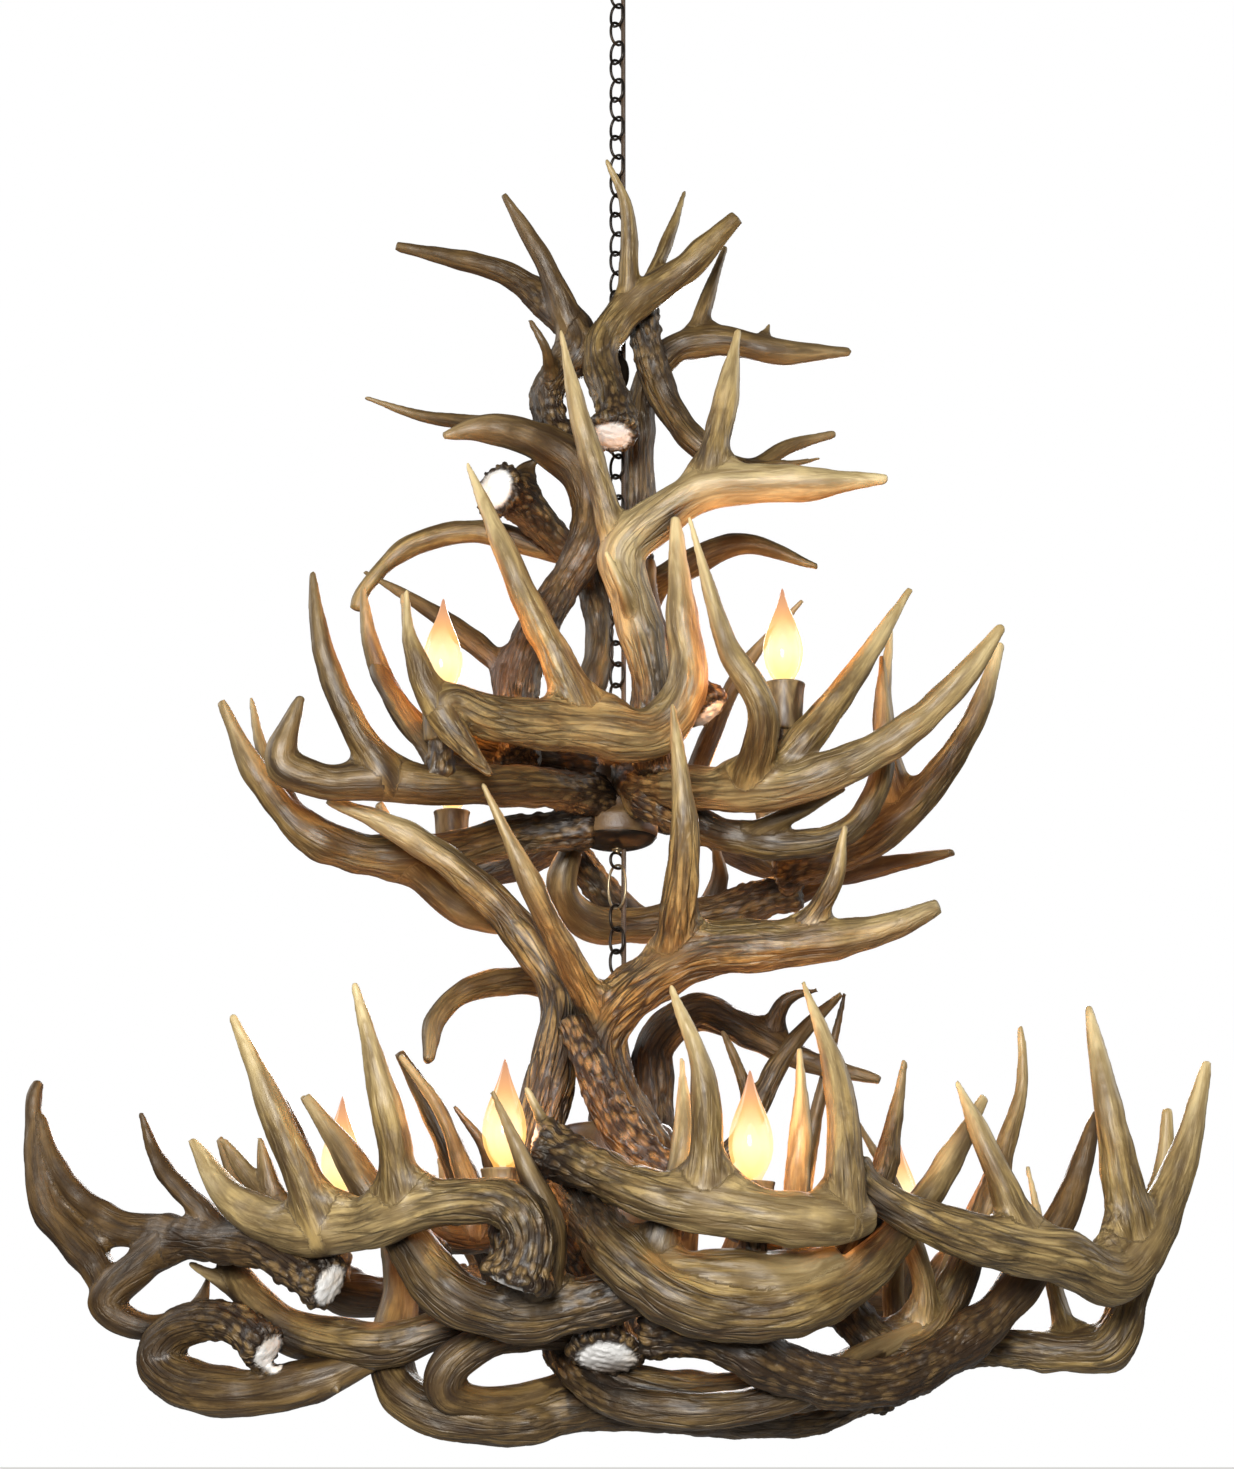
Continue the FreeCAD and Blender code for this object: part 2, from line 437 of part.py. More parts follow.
LOWER_ANTLERS = [
    ("ring_centre_front", BURR,
     [(-8, -224, -36, 24), (-6, -205, -8, 22), (0, -150, 2, 21), (0, -85, 5, 20), (0, -40, 20, 19)],
     []),
    ("ring_back_left", PLAIN,
     [(-15, 25, 25, 18), (-100, 30, 20, 18), (-170, 45, 20, 18), (-240, 20, 25, 17),
      (-295, 60, 65, 13), (-335, 90, 115, 8), (-360, 105, 165, 4)],
     [[(-270, 35, 45, 10), (-315, 100, 120, 7), (-325, 110, 165, 2)],
      [(-230, 20, 20, 12), (-275, 40, 90, 8), (-290, 55, 155, 2)]]),
    ("ring_back_right", PLAIN,
     [(20, 30, 25, 18), (70, 45, 20, 18), (145, 110, 20, 18), (250, 150, 15, 16), (305, 160, 60, 12),
      (335, 145, 120, 7), (360, 135, 185, 4)],
     [[(190, 130, 15, 14), (165, 85, 110, 10), (205, 55, 290, 2)],
      [(250, 150, 15, 12), (260, 95, 90, 8), (205, 60, 190, 2)]]),
    ("ring_back_spoke", PLAIN,
     [(0, 40, 25, 18), (0, 190, 15, 17), (-5, 250, 5, 16), (-10, 265, 5, 16), (-5, 335, 30, 15),
      (0, 365, 100, 11), (5, 375, 170, 4)],
     []),
    ("ring_inner_left", PLAIN,
     [(-25, -30, 20, 18), (-80, -30, 15, 18), (-110, -45, 65, 17), (-135, -65, 125, 13),
      (-155, -70, 170, 10), (-185, -70, 220, 5)],
     [[(-105, -40, 50, 10), (-105, -90, 125, 7), (-135, -105, 170, 2)]]),
    ("stem_left", PLAIN,
     [(-30, -40, 45, 19), (-60, -95, 85, 19), (-70, -125, 125, 19), (-60, -130, 170, 19),
      (-50, -120, 215, 18), (-50, -110, 265, 17), (-80, -105, 315, 16), (-125, -110, 360, 14),
      (-185, -120, 400, 11), (-245, -130, 425, 4)],
     []),
    ("stem_front", PLAIN,
     [(40, -55, 95, 19), (20, -90, 145, 20), (-5, -110, 190, 20), (-10, -120, 230, 21),
      (25, -140, 268, 22), (75, -160, 290, 22), (150, -180, 293, 18), (215, -185, 303, 13),
      (262, -190, 322, 6)],
     [[(-10, -120, 230, 15), (-65, -190, 330, 10), (-110, -210, 420, 2)],
      [(45, -150, 280, 17), (55, -210, 380, 12), (45, -220, 485, 2)],
      [(150, -180, 300, 12), (175, -200, 340, 8), (185, -210, 385, 2)],
      [(-5, -110, 195, 8), (-40, -135, 240, 2)]]),
    ("stem_back", PLAIN,
     [(38, 35, 110, 19), (33, 45, 175, 18), (32, 50, 235, 18), (70, 55, 270, 17), (115, 55, 255, 15),
      (165, 55, 230, 11), (235, 50, 210, 4)],
     [[(135, 55, 245, 9), (150, 45, 280, 6), (180, 40, 290, 2)]]),
    ("stem_arc", PLAIN,
     [(-15, 30, 105, 15), (-10, 50, 175, 15), (-10, 45, 230, 15), (-25, 20, 270, 15),
      (-75, -5, 290, 13), (-125, -30, 280, 11), (-155, -50, 250, 9), (-160, -70, 210, 5)],
     []),
    ("ring_low_left", BURR,
     [(30, -245, 20, 19), (-15, -260, 5, 20), (-75, -250, -5, 21), (-125, -260, 10, 20),
      (-165, -245, 55, 17), (-205, -230, 110, 12), (-245, -220, 165, 4)],
     [[(-60, -250, -5, 14), (-50, -290, 55, 11), (-70, -300, 105, 8), (-95, -295, 160, 2)]]),
    ("ring_low_front", PLAIN,
     [(-40, -240, 95, 17), (-5, -280, 45, 21), (45, -295, 5, 23), (105, -290, -5, 23),
      (170, -275, 15, 20), (220, -250, 60, 14), (260, -230, 115, 10), (290, -215, 165, 4)],
     [[(140, -285, 0, 14), (140, -225, 85, 11), (145, -215, 145, 8), (145, -205, 205, 2)],
      [(25, -290, 20, 14), (50, -280, 115, 10), (50, -265, 190, 2)],
      [(20, -290, 30, 14), (75, -290, 22, 20), (125, -284, 20, 20), (168, -272, 34, 14)]]),
    ("ring_rough", BURR,
     [(25, -225, -10, 20), (85, -245, -25, 20), (140, -235, -50, 19), (200, -215, -55, 18),
      (260, -180, -30, 18), (310, -160, 10, 17), (360, -140, 80, 13), (395, -130, 165, 4)],
     []),
    ("ring_under_front", BURR,
     [(-50, -145, -5, 17), (-30, -170, -40, 19), (20, -185, -61, 20), (80, -180, -65, 20),
      (145, -160, -57, 19), (205, -125, -40, 18), (255, -80, -5, 12), (280, -50, 55, 4)],
     [[(230, -105, -30, 11), (225, -105, 20, 8), (235, -110, 60, 2)]]),
    ("ring_front_left", BURR,
     [(-75, -305, 15, 21), (-65, -310, 50, 19), (-85, -305, 75, 18), (-135, -290, 75, 17),
      (-195, -265, 60, 19), (-250, -235, 60, 19), (-300, -205, 85, 14), (-340, -180, 135, 4)],
     [[(-222, -255, 55, 16), (-262, -272, 145, 12), (-298, -270, 222, 3)],
      [(-160, -280, 70, 16), (-175, -302, 150, 12), (-201, -300, 242, 3)]]),
    ("ring_front_right", BURR,
     [(-55, -270, 120, 17), (-10, -300, 95, 18), (45, -315, 75, 20), (105, -320, 65, 21),
      (160, -310, 60, 17), (190, -290, 65, 12)],
     [[(65, -320, 70, 15), (65, -335, 160, 10), (40, -330, 235, 2)],
      [(170, -305, 60, 16), (170, -285, 160, 11), (145, -255, 250, 2)],
      [(-45, -275, 115, 8), (-70, -275, 165, 2)]]),
    ("ring_right", BURR,
     [(175, -275, 100, 13), (220, -270, 70, 15), (280, -255, 50, 19), (340, -230, 40, 21),
      (388, -200, 27, 22), (425, -185, 66, 18), (453, -175, 125, 12), (478, -165, 200, 4)],
     [[(320, -240, 40, 14), (285, -250, 120, 10), (265, -235, 175, 2)],
      [(408, -190, 45, 18), (390, -208, 140, 13), (378, -195, 240, 3)]]),
    ("ring_low_right", PLAIN,
     [(255, -65, -25, 17), (310, -95, -25, 15), (365, -110, -30, 16), (400, -115, -20, 18),
      (426, -105, 45, 15), (452, -95, 120, 8), (458, -95, 170, 4)],
     [[(370, -110, -35, 12), (360, -85, 20, 8), (345, -60, 125, 2)]]),
    ("ring_far_left", BURR,
     [(-220, -240, 18, 17), (-275, -207, 48, 17), (-320, -165, 55, 17), (-370, -115, 65, 17),
      (-427, -80, 82, 14), (-477, -52, 132, 11), (-500, -45, 200, 5)],
     [[(-355, -130, 60, 13), (-455, -115, 65, 9), (-495, -95, 185, 2)],
      [(-290, -195, 45, 11), (-370, -115, 115, 8), (-395, -105, 165, 2)],
      [(-360, -125, 60, 15), (-413, -120, 13, 15), (-380, -115, -10, 10), (-345, -95, 5, 8),
       (-335, -85, 35, 2)]]),
    ("ring_under_back", BURR,
     [(220, -70, -55, 15), (145, -105, -78, 17), (65, -135, -77, 17), (-15, -160, -73, 17),
      (-90, -180, -83, 18), (-152, -180, -71, 18), (-178, -160, -42, 17), (-175, -130, 14, 15),
      (-190, -95, 125, 5)],
     []),
    ("ring_loop", BURR,
     [(-272, -185, -30, 15), (-306, -165, -6, 15), (-348, -142, -10, 17), (-366, -130, -33, 18),
      (-345, -140, -54, 19), (-293, -160, -61, 19), (-238, -175, -52, 17), (-185, -175, -33, 10)],
     [[(-230, -175, -48, 8), (-215, -190, -62, 2)]]),
    ("ring_back_arc", PLAIN,
     [(-175, 190, 45, 17), (-110, 245, 35, 19), (-25, 275, 35, 20), (60, 275, 35, 19),
      (135, 245, 50, 14), (190, 220, 95, 5)],
     [[(-110, 245, 35, 12), (-155, 225, 105, 8), (-170, 230, 160, 2)],
      [(100, 260, 40, 12), (125, 275, 125, 8), (120, 280, 185, 2)]]),
]

# Antlers added inside the two tiers, cut to all the others.
UPPER_INNER = [
    ("crown_right_burr", BURR,
     [(80, -95, 100, 17), (60, -90, 125, 16), (40, -80, 155, 13), (30, -75, 200, 9), (30, -70, 250, 4)],
     []),
    ("mid_inner_right", PLAIN,
     [(20, -60, 31, 16), (63, -80, 7, 15), (101, -95, -10, 14), (147, -105, -18, 13),
      (194, -110, -8, 12), (223, -110, 33, 10), (229, -108, 91, 8), (229, -105, 150, 2.2)],
     [[(101, -95, -10, 10), (146, -120, 4, 8), (193, -130, 26, 3)]]),
    ("mid_inner_left", PLAIN,
     [(-24, -40, 63, 15), (-76, -60, 65, 15), (-128, -75, 74, 15), (-166, -85, 83, 13),
      (-197, -90, 122, 10), (-215, -92, 167, 8), (-223, -95, 216, 2.2)],
     [[(-141, -78, 76, 10), (-169, -60, 131, 8), (-184, -55, 178, 5), (-192, -50, 224, 2.2)]]),
    ("mid_lower_back", PLAIN,
     [(-52, 60, 26, 16), (-6, 90, -28, 14), (40, 110, -53, 13), (96, 120, -41, 13),
      (162, 130, -16, 12), (228, 130, 10, 9), (313, 130, 25, 2.8)],
     [[(77, 115, -47, 10), (95, 100, -7, 8), (91, 90, 24, 3.7)]]),
]

LOWER_INNER = [
    ("ring_belly_left", BURR,
     [(-45, -150, 10, 14), (-92, -175, -4, 16), (-138, -190, -14, 16), (-185, -185, -25, 17),
      (-242, -170, -17, 17), (-289, -150, 10, 14), (-317, -130, 51, 9), (-340, -120, 96, 3.3)],
     [[(-214, -165, -30, 12), (-263, -158, -19, 11), (-297, -145, 13, 9), (-346, -130, 41, 2.4)]]),
    ("ring_belly_centre", PLAIN,
     [(59, -110, -12, 12), (18, -150, -7, 14), (-45, -185, -14, 16), (-91, -205, -20, 15),
      (-125, -210, -39, 15), (-132, -205, -61, 15), (-98, -190, -70, 13), (-56, -170, -61, 12),
      (-25, -150, -42, 7)],
     []),
    ("ring_belly_right", PLAIN,
     [(-45, -160, -21, 13), (-29, -190, -50, 14), (6, -215, -69, 14), (59, -225, -76, 14),
      (113, -220, -69, 14), (160, -205, -52, 12), (205, -185, -29, 10), (247, -170, -6, 6)],
     []),
    ("ring_bowl_right", PLAIN,
     [(169, -160, 18, 14), (207, -170, -25, 17), (243, -165, -19, 17), (270, -150, 22, 15),
      (298, -135, 78, 12), (317, -125, 132, 9), (334, -120, 185, 6), (335, -118, 235, 2.1)],
     [[(239, -165, -21, 13), (243, -175, 21, 10), (227, -185, 67, 8), (208, -190, 113, 3.2)]]),
    ("ring_left_fork", PLAIN,
     [(-136, -236, 38, 14), (-171, -185, 62, 13), (-216, -175, 75, 13), (-253, -165, 68, 14),
      (-279, -155, 89, 11), (-302, -150, 115, 8), (-320, -150, 139, 2.4)],
     [[(-228, -170, 73, 11), (-256, -150, 129, 9), (-275, -140, 171, 6)],
      [(-274, -158, 85, 9), (-282, -160, 116, 6), (-288, -160, 139, 2)]]),
    ("ring_grey_tine", PLAIN,
     [(-64, -100, 72, 13), (-131, -130, 60, 13), (-171, -140, 80, 12), (-200, -145, 106, 11),
      (-228, -150, 139, 8), (-256, -150, 173, 2.8)],
     [[(-116, -130, 66, 11), (-124, -115, 108, 9), (-146, -105, 165, 6), (-182, -95, 214, 3)]]),
    ("stem_diagonal", PLAIN,
     [(20, 60, 28, 15), (64, 55, 110, 12), (109, 50, 157, 11), (129, 50, 197, 11),
      (148, 50, 231, 9), (174, 50, 262, 7), (202, 50, 288, 2.7)],
     [[(122, 50, 184, 8), (105, 40, 227, 5), (93, 35, 253, 2.2)]]),
    ("stem_rough", PLAIN,
     [(-37, -140, 235, 12), (-22, -152, 198, 13), (-4, -162, 156, 15), (22, -172, 123, 15),
      (58, -182, 95, 14), (97, -195, 66, 13), (135, -205, 50, 10), (170, -210, 46, 3.1)],
     []),
    ("ring_front_burr", BURR,
     [(146, -255, 12, 17), (167, -250, 35, 17), (185, -245, 61, 14), (204, -235, 98, 10),
      (217, -225, 145, 7), (227, -220, 193, 2)],
     []),
]

# ---- Where the lamps stand -----------------------------------------------------------
# (x, y, where the glass starts, top of the antler below), heights above the bottom of the hub.
UPPER_LAMPS = [
    ("front_left", -148, -150, 102, 41),
    ("front_right", 141, -150, 111, 36),
    ("back_left", -160, 200, 80, 33),
    ("back_right", 152, 200, 80, 37),
]
LOWER_LAMPS = [
    ("front_left", -87, -250, 105, 20),
    ("front_right", 102, -275, 93, 10),
    ("side_left", -240, 15, 107, 42),
    ("side_right", 259, 150, 85, 33),
    ("rear_left", -62, 272, 105, 52),
    ("rear_right", 62, 272, 105, 53),
]

CUP = lamp_cup()
BULB = bulb()


# ---- Canopy --------------------------------------------------------------------------
def canopy():
    """A shallow domed cover with a loop under its middle and a mouth for the cord."""
    body = turned([(CANOPY_CROWN, -CANOPY_HEIGHT), (CANOPY_WAIST, -0.7 * CANOPY_HEIGHT),
                   (CANOPY_RADIUS, -CANOPY_RIM), (CANOPY_RADIUS, 0)], CANOPY_FACETS)
    neck_bottom = -CANOPY_HEIGHT - LOOP_NECK - WIRE / 2
    neck = turned([(WIRE, neck_bottom), (WIRE, -CANOPY_HEIGHT + OVERLAP)], CORD_FACETS)
    middle = -CANOPY_HEIGHT - LOOP_NECK - LOOP_HALF_HEIGHT
    loop = ring_of_wire(LOOP_HALF_WIDTH, LOOP_HALF_HEIGHT, WIRE, middle, CHAIN_YAW)
    mouth = vertical_cord(-CANOPY_HEIGHT / 2, -CANOPY_HEIGHT - OVERLAP, CORD_RADIUS + CORD_PLAY)
    body = body.cut(mouth)
    return largest(body.multiFuse([neck, loop])), middle - LOOP_HALF_HEIGHT


canopy_solid, loop_bottom = canopy()
walk = Hanger(WIRE, loop_bottom, CHAIN_YAW)

# ---- Upper chain ---------------------------------------------------------------------
link = (LINK_HALF_WIDTH, LINK_HALF_HEIGHT, WIRE)
top_pivot = walk.bottom
top_link = walk.hang(*link, gap=JOINT_GAP)
second_pivot = walk.bottom
upper_links = [walk.hang(*link, gap=JOINT_GAP)]
for _ in range(LINKS_ABOVE_COUPLER - 2):
    upper_links.append(walk.hang(*link))
coupler_ring = walk.hang(LINK_HALF_WIDTH, COUPLER_HALF_HEIGHT, WIRE)
coupler_middle = walk.bottom + COUPLER_HALF_HEIGHT
egg_half = COUPLER_EGG_HEIGHT / 2
egg = turned([(0.35 * COUPLER_EGG_RADIUS, coupler_middle - egg_half),
              (0.85 * COUPLER_EGG_RADIUS, coupler_middle - 0.6 * egg_half),
              (COUPLER_EGG_RADIUS, coupler_middle + 0.1 * egg_half),
              (0.8 * COUPLER_EGG_RADIUS, coupler_middle + 0.7 * egg_half),
              (0.35 * COUPLER_EGG_RADIUS, coupler_middle + egg_half)], LAMP_FACETS)
coupler = coupler_ring.fuse(egg)
for _ in range(LINKS_BELOW_COUPLER):
    upper_links.append(walk.hang(*link))

# ---- Upper hub -----------------------------------------------------------------------
eye_ring = walk.hang(LOOP_HALF_WIDTH, LOOP_HALF_HEIGHT, WIRE)
upper_hub_top = walk.bottom - LOOP_NECK
upper_datum = upper_hub_top - UPPER_HUB_HEIGHT
bowl_top = upper_datum + UPPER_HUB_BOWL
rim_top = bowl_top + UPPER_HUB_RIM
hub_body = turned([(0.27 * UPPER_HUB_RADIUS, upper_datum),
                   (0.8 * UPPER_HUB_RADIUS, upper_datum + 0.45 * UPPER_HUB_BOWL),
                   (UPPER_HUB_RADIUS, bowl_top), (UPPER_HUB_RADIUS, rim_top),
                   (UPPER_HUB_BODY, rim_top + UPPER_HUB_RIM), (UPPER_HUB_BODY, upper_hub_top)], HUB_FACETS)
top_neck = turned([(WIRE, upper_hub_top - OVERLAP), (WIRE, walk.bottom + WIRE / 2)], CORD_FACETS)
lower_eye_top = upper_datum - LOOP_NECK
bottom_neck = turned([(WIRE, lower_eye_top - WIRE / 2), (WIRE, upper_datum + OVERLAP)], CORD_FACETS)
lower_eye_yaw = walk.yaw
bottom_eye = ring_of_wire(LOOP_HALF_WIDTH, LOOP_HALF_HEIGHT, WIRE, lower_eye_top - LOOP_HALF_HEIGHT,
                          lower_eye_yaw)
cord_mouth = vertical_cord(upper_datum + CORD_PLAY, upper_datum - LOOP_NECK, CORD_RADIUS + CORD_PLAY)
upper_hub = largest(hub_body.cut(cord_mouth).multiFuse([eye_ring, top_neck, bottom_neck, bottom_eye]))

upper_cord = vertical_cord(second_pivot - CORD_SETBACK, upper_hub_top)
coupler = largest(coupler.cut(upper_cord))

# ---- Drop link and lower chain -------------------------------------------------------
walk = Hanger(WIRE, lower_eye_top - 2 * LOOP_HALF_HEIGHT, lower_eye_yaw)
drop_pivot = walk.bottom
drop_link = walk.hang(DROP_HALF_WIDTH, DROP_HALF_HEIGHT, DROP_WIRE, gap=JOINT_GAP)
lower_pivot = walk.bottom
lower_links = [walk.hang(*link, gap=JOINT_GAP)]
for _ in range(LINKS_LOWER - 1):
    lower_links.append(walk.hang(*link))

# ---- Lower hub -----------------------------------------------------------------------
lower_eye = walk.hang(LOOP_HALF_WIDTH, LOOP_HALF_HEIGHT, WIRE)
lower_hub_top = walk.bottom - LOWER_ROD_LENGTH
lower_datum = lower_hub_top - LOWER_HUB_HEIGHT
column = turned([(LOWER_HUB_RADIUS - LOWER_HUB_EDGE, lower_datum),
                 (LOWER_HUB_RADIUS, lower_datum + LOWER_HUB_EDGE),
                 (LOWER_HUB_RADIUS, lower_hub_top - LOWER_HUB_EDGE),
                 (LOWER_HUB_RADIUS - LOWER_HUB_EDGE, lower_hub_top)], HUB_FACETS)
rod = turned([(LOWER_ROD_RADIUS, lower_hub_top - OVERLAP), (LOWER_ROD_RADIUS, walk.bottom - 0.5 * WIRE)], CORD_FACETS)
rod_neck = turned([(WIRE, walk.bottom - WIRE), (WIRE, walk.bottom)], CORD_FACETS)
lower_hub = largest(column.multiFuse([rod, rod_neck, lower_eye]))
lower_cord = vertical_cord(lower_pivot - CORD_SETBACK, lower_hub_top)
lower_cord = largest(lower_cord.cut(lower_hub))


# ---- The two antler sections ---------------------------------------------------------
def section(rows, spots, datum, hub, cord):
    """Antlers fitted to the hub and to each other, with the lamps that stand on them."""
    cups, bulbs = lamps([spot[1:] for spot in spots], datum)
    antlers = [Antler(name, datum, beam, tines, burr) for name, burr, beam, tines in rows]
    return fit_together(antlers, [hub, cord, *cups]), cups, bulbs


upper_antlers, upper_cups, upper_bulbs = section(
    UPPER_ANTLERS + UPPER_INNER, UPPER_LAMPS, upper_datum, upper_hub, upper_cord)
lower_antlers, lower_cups, lower_bulbs = section(
    LOWER_ANTLERS + LOWER_INNER, LOWER_LAMPS, lower_datum, lower_hub, lower_cord)

# ---- Files ---------------------------------------------------------------------------
save("canopy", [canopy_solid])
save("chain_top_link", [top_link])
save("chain_upper", upper_links[:LINKS_ABOVE_COUPLER - 1] + [coupler] + upper_links[LINKS_ABOVE_COUPLER - 1:])
save("lamp_cord_upper", [upper_cord])
save("upper_hub", [upper_hub])
save("drop_link", [drop_link])
save("chain_lower", lower_links)
save("lamp_cord_lower", [lower_cord])
save("lower_hub", [lower_hub])
save("upper_lamp_cups", upper_cups)
save("lower_lamp_cups", lower_cups)
outer = upper_antlers[:len(UPPER_ANTLERS)] + lower_antlers[:len(LOWER_ANTLERS)]
for antler in outer:
    save("antler_" + antler.name, [antler.shape])
save("antlers_upper_inner", [antler.shape for antler in upper_antlers[len(UPPER_ANTLERS):]])
save("antlers_lower_inner", [antler.shape for antler in lower_antlers[len(LOWER_ANTLERS):]])
for spot, light in zip(UPPER_LAMPS, upper_bulbs):
    save("bulb_upper_" + spot[0], [light])
for spot, light in zip(LOWER_LAMPS, lower_bulbs):
    save("bulb_lower_" + spot[0], [light])
print("pivots", top_pivot, second_pivot, drop_pivot, lower_pivot)
print("datums", upper_datum, lower_datum)
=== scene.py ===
# %% [markdown]
# # Antler chandelier
# The real object is two tiers of shed antlers screwed to two hubs and hung on a chain. Flame bulbs
# stand in cups along the beams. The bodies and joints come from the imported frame, the antlers' lines
# are those of the solids, and this file gives them their skin. The scene is in metres, the tables
# are in millimetres, and the origin is the ceiling.

# %% Frame
import math
import bmesh
import bpy
import numpy as np
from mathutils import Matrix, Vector, kdtree


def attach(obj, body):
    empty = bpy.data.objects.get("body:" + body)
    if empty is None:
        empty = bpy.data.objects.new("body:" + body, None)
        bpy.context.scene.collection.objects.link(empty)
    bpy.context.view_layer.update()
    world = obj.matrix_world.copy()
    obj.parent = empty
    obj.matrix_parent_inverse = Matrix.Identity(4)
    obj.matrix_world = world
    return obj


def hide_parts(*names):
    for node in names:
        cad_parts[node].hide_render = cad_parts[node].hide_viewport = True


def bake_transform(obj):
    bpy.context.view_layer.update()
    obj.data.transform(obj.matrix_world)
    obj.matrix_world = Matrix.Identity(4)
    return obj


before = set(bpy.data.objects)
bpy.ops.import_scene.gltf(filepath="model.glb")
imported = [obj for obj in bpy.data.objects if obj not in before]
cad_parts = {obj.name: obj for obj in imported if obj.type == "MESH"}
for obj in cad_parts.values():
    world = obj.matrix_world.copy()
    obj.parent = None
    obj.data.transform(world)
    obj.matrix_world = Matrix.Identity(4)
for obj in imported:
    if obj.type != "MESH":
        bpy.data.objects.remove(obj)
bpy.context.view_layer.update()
MM = 0.001

# %% [markdown]
# The camera stands 2.3 m in front of the chain and looks up by 14.5 degrees, as the photograph's
# does. The lens follows from the picture's focal length in pixels, and the sensor width belongs to
# the picture's long side.

# %% Camera
IMAGE_LONG_SIDE = 1469
FOCAL_PIXELS = 2640.0
SENSOR_WIDTH = 36.0
CAMERA_PLACE = (0.0, -2.3, -1.4038)
CAMERA_TILT = 14.5


def add(name, data):
    """A new object in the scene that shows the data."""
    made = bpy.data.objects.new(name, data)
    bpy.context.scene.collection.objects.link(made)
    return made


camera_data = bpy.data.cameras.new("camera")
camera_data.sensor_width = SENSOR_WIDTH
camera_data.lens = FOCAL_PIXELS / IMAGE_LONG_SIDE * SENSOR_WIDTH
camera = add("camera", camera_data)
camera.location = CAMERA_PLACE
camera.rotation_euler = (math.radians(90.0 + CAMERA_TILT), 0.0, 0.0)
bpy.context.scene.camera = camera
print("lens", round(camera_data.lens, 1), "mm")

# %% [markdown]
# Shader trees are wired by a few small helpers. The first two make a node, set its options, and fill
# each input with either a value or another node's output. The others are the nodes that recur.

# %% Helpers for shader trees


def fill(tree, node, **inputs):
    """Links or sets a node's inputs. Names use _ for a space, and i0, i1 pick an input by its place."""
    for name, value in inputs.items():
        socket = node.inputs[int(name[1:])] if name[1:].isdigit() else node.inputs[name.replace("_", " ")]
        if isinstance(value, bpy.types.NodeSocket):
            tree.links.new(value, socket)
        else:
            socket.default_value = value


def wire(tree, kind, settings=None, **inputs):
    """Adds a shader node, sets its options and fills its inputs."""
    made = tree.nodes.new("ShaderNode" + kind)
    for name, value in (settings or {}).items():
        setattr(made, name, value)
    fill(tree, made, **inputs)
    return made


def operate(tree, operation, first, second):
    """The output of a Math node."""
    return wire(tree, "Math", {"operation": operation}, i0=first, i1=second).outputs[0]


def spread(tree, value, low=0.0, high=1.0, start=0.0, end=1.0, settings=None):
    """A value that goes evenly from start at low to end at high."""
    return wire(tree, "MapRange", settings, i0=value, i1=low, i2=high, i3=start, i4=end).outputs[0]


def band(tree, value, low, high, start=0.0, end=1.0):
    """A value that goes smoothly from start at low to end at high."""
    return spread(tree, value, low, high, start, end, {"interpolation_type": "SMOOTHSTEP"})


def blend_colours(tree, share, first, second, mode="MIX"):
    """The colour output of a Mix node."""
    mix = wire(tree, "Mix", {"data_type": "RGBA", "blend_type": mode}, i0=share, i6=first, i7=second)
    return mix.outputs[2]


def colour_ramp(tree, value, stops):
    """The colour output of a ramp. Its stops are (position, colour), from the lowest to the highest."""
    made = wire(tree, "ValToRGB", None, i0=value)
    elements = made.color_ramp.elements
    elements[0].position, elements[0].color = stops[0]
    elements[1].position, elements[1].color = stops[-1]
    for position, colour in stops[1:-1]:
        elements.new(position).color = colour
    return made.outputs[0]


def bump(tree, height, strength, distance):
    """A normal that follows a height."""
    return wire(tree, "Bump", None, Strength=strength, Distance=distance, Height=height).outputs[0]


def new_group(name, inputs, outputs):
    """An empty shader node group with named sockets: (name, kind, default)."""
    group = bpy.data.node_groups.new(name, "ShaderNodeTree")
    for label, kind, default in inputs:
        socket = group.interface.new_socket(name=label, in_out="INPUT", socket_type="NodeSocket" + kind)
        if default is not None:
            socket.default_value = default
    for label, kind in outputs:
        group.interface.new_socket(name=label, in_out="OUTPUT", socket_type="NodeSocket" + kind)
    return group, group.nodes.new("NodeGroupInput"), group.nodes.new("NodeGroupOutput")


def use_group(tree, group, **inputs):
    """Places a group in a tree and fills its inputs."""
    return wire(tree, "Group", {"node_tree": group}, **inputs)


def new_material(name):
    """A material, its node tree and its Principled shader."""
    material = bpy.data.materials.new(name)
    material.use_nodes = True
    return material, material.node_tree, material.node_tree.nodes["Principled BSDF"]


print("shader helpers ready")

# %% [markdown]
# The room is a pale floor under a white surround. Both are bright only to the camera, so they don't
# flood the undersides with light. Other rays meet a dim fill, and reflections a trace of the white.
# Four large soft lamps do the lighting: one near the camera, as the highlights run down the middle
# of each beam, one on each side, and one behind.

# %% Floor, surround and lamps
FLOOR_HEIGHT = -2.15
FLOOR_HALF_SIDE = 40.0
FLOOR_GLOW = 0.68
FILL_STRENGTH = 0.06
REFLECTED_SHARE = 0.07
bpy.context.scene.view_settings.view_transform = "Standard"
floor_mesh = bpy.data.meshes.new("floor")
floor_bm = bmesh.new()
bmesh.ops.create_grid(floor_bm, x_segments=1, y_segments=1, size=FLOOR_HALF_SIDE)
bmesh.ops.translate(floor_bm, verts=floor_bm.verts, vec=(0.0, 0.0, FLOOR_HEIGHT))
floor_bm.to_mesh(floor_mesh)
floor_bm.free()
floor = add("floor", floor_mesh)

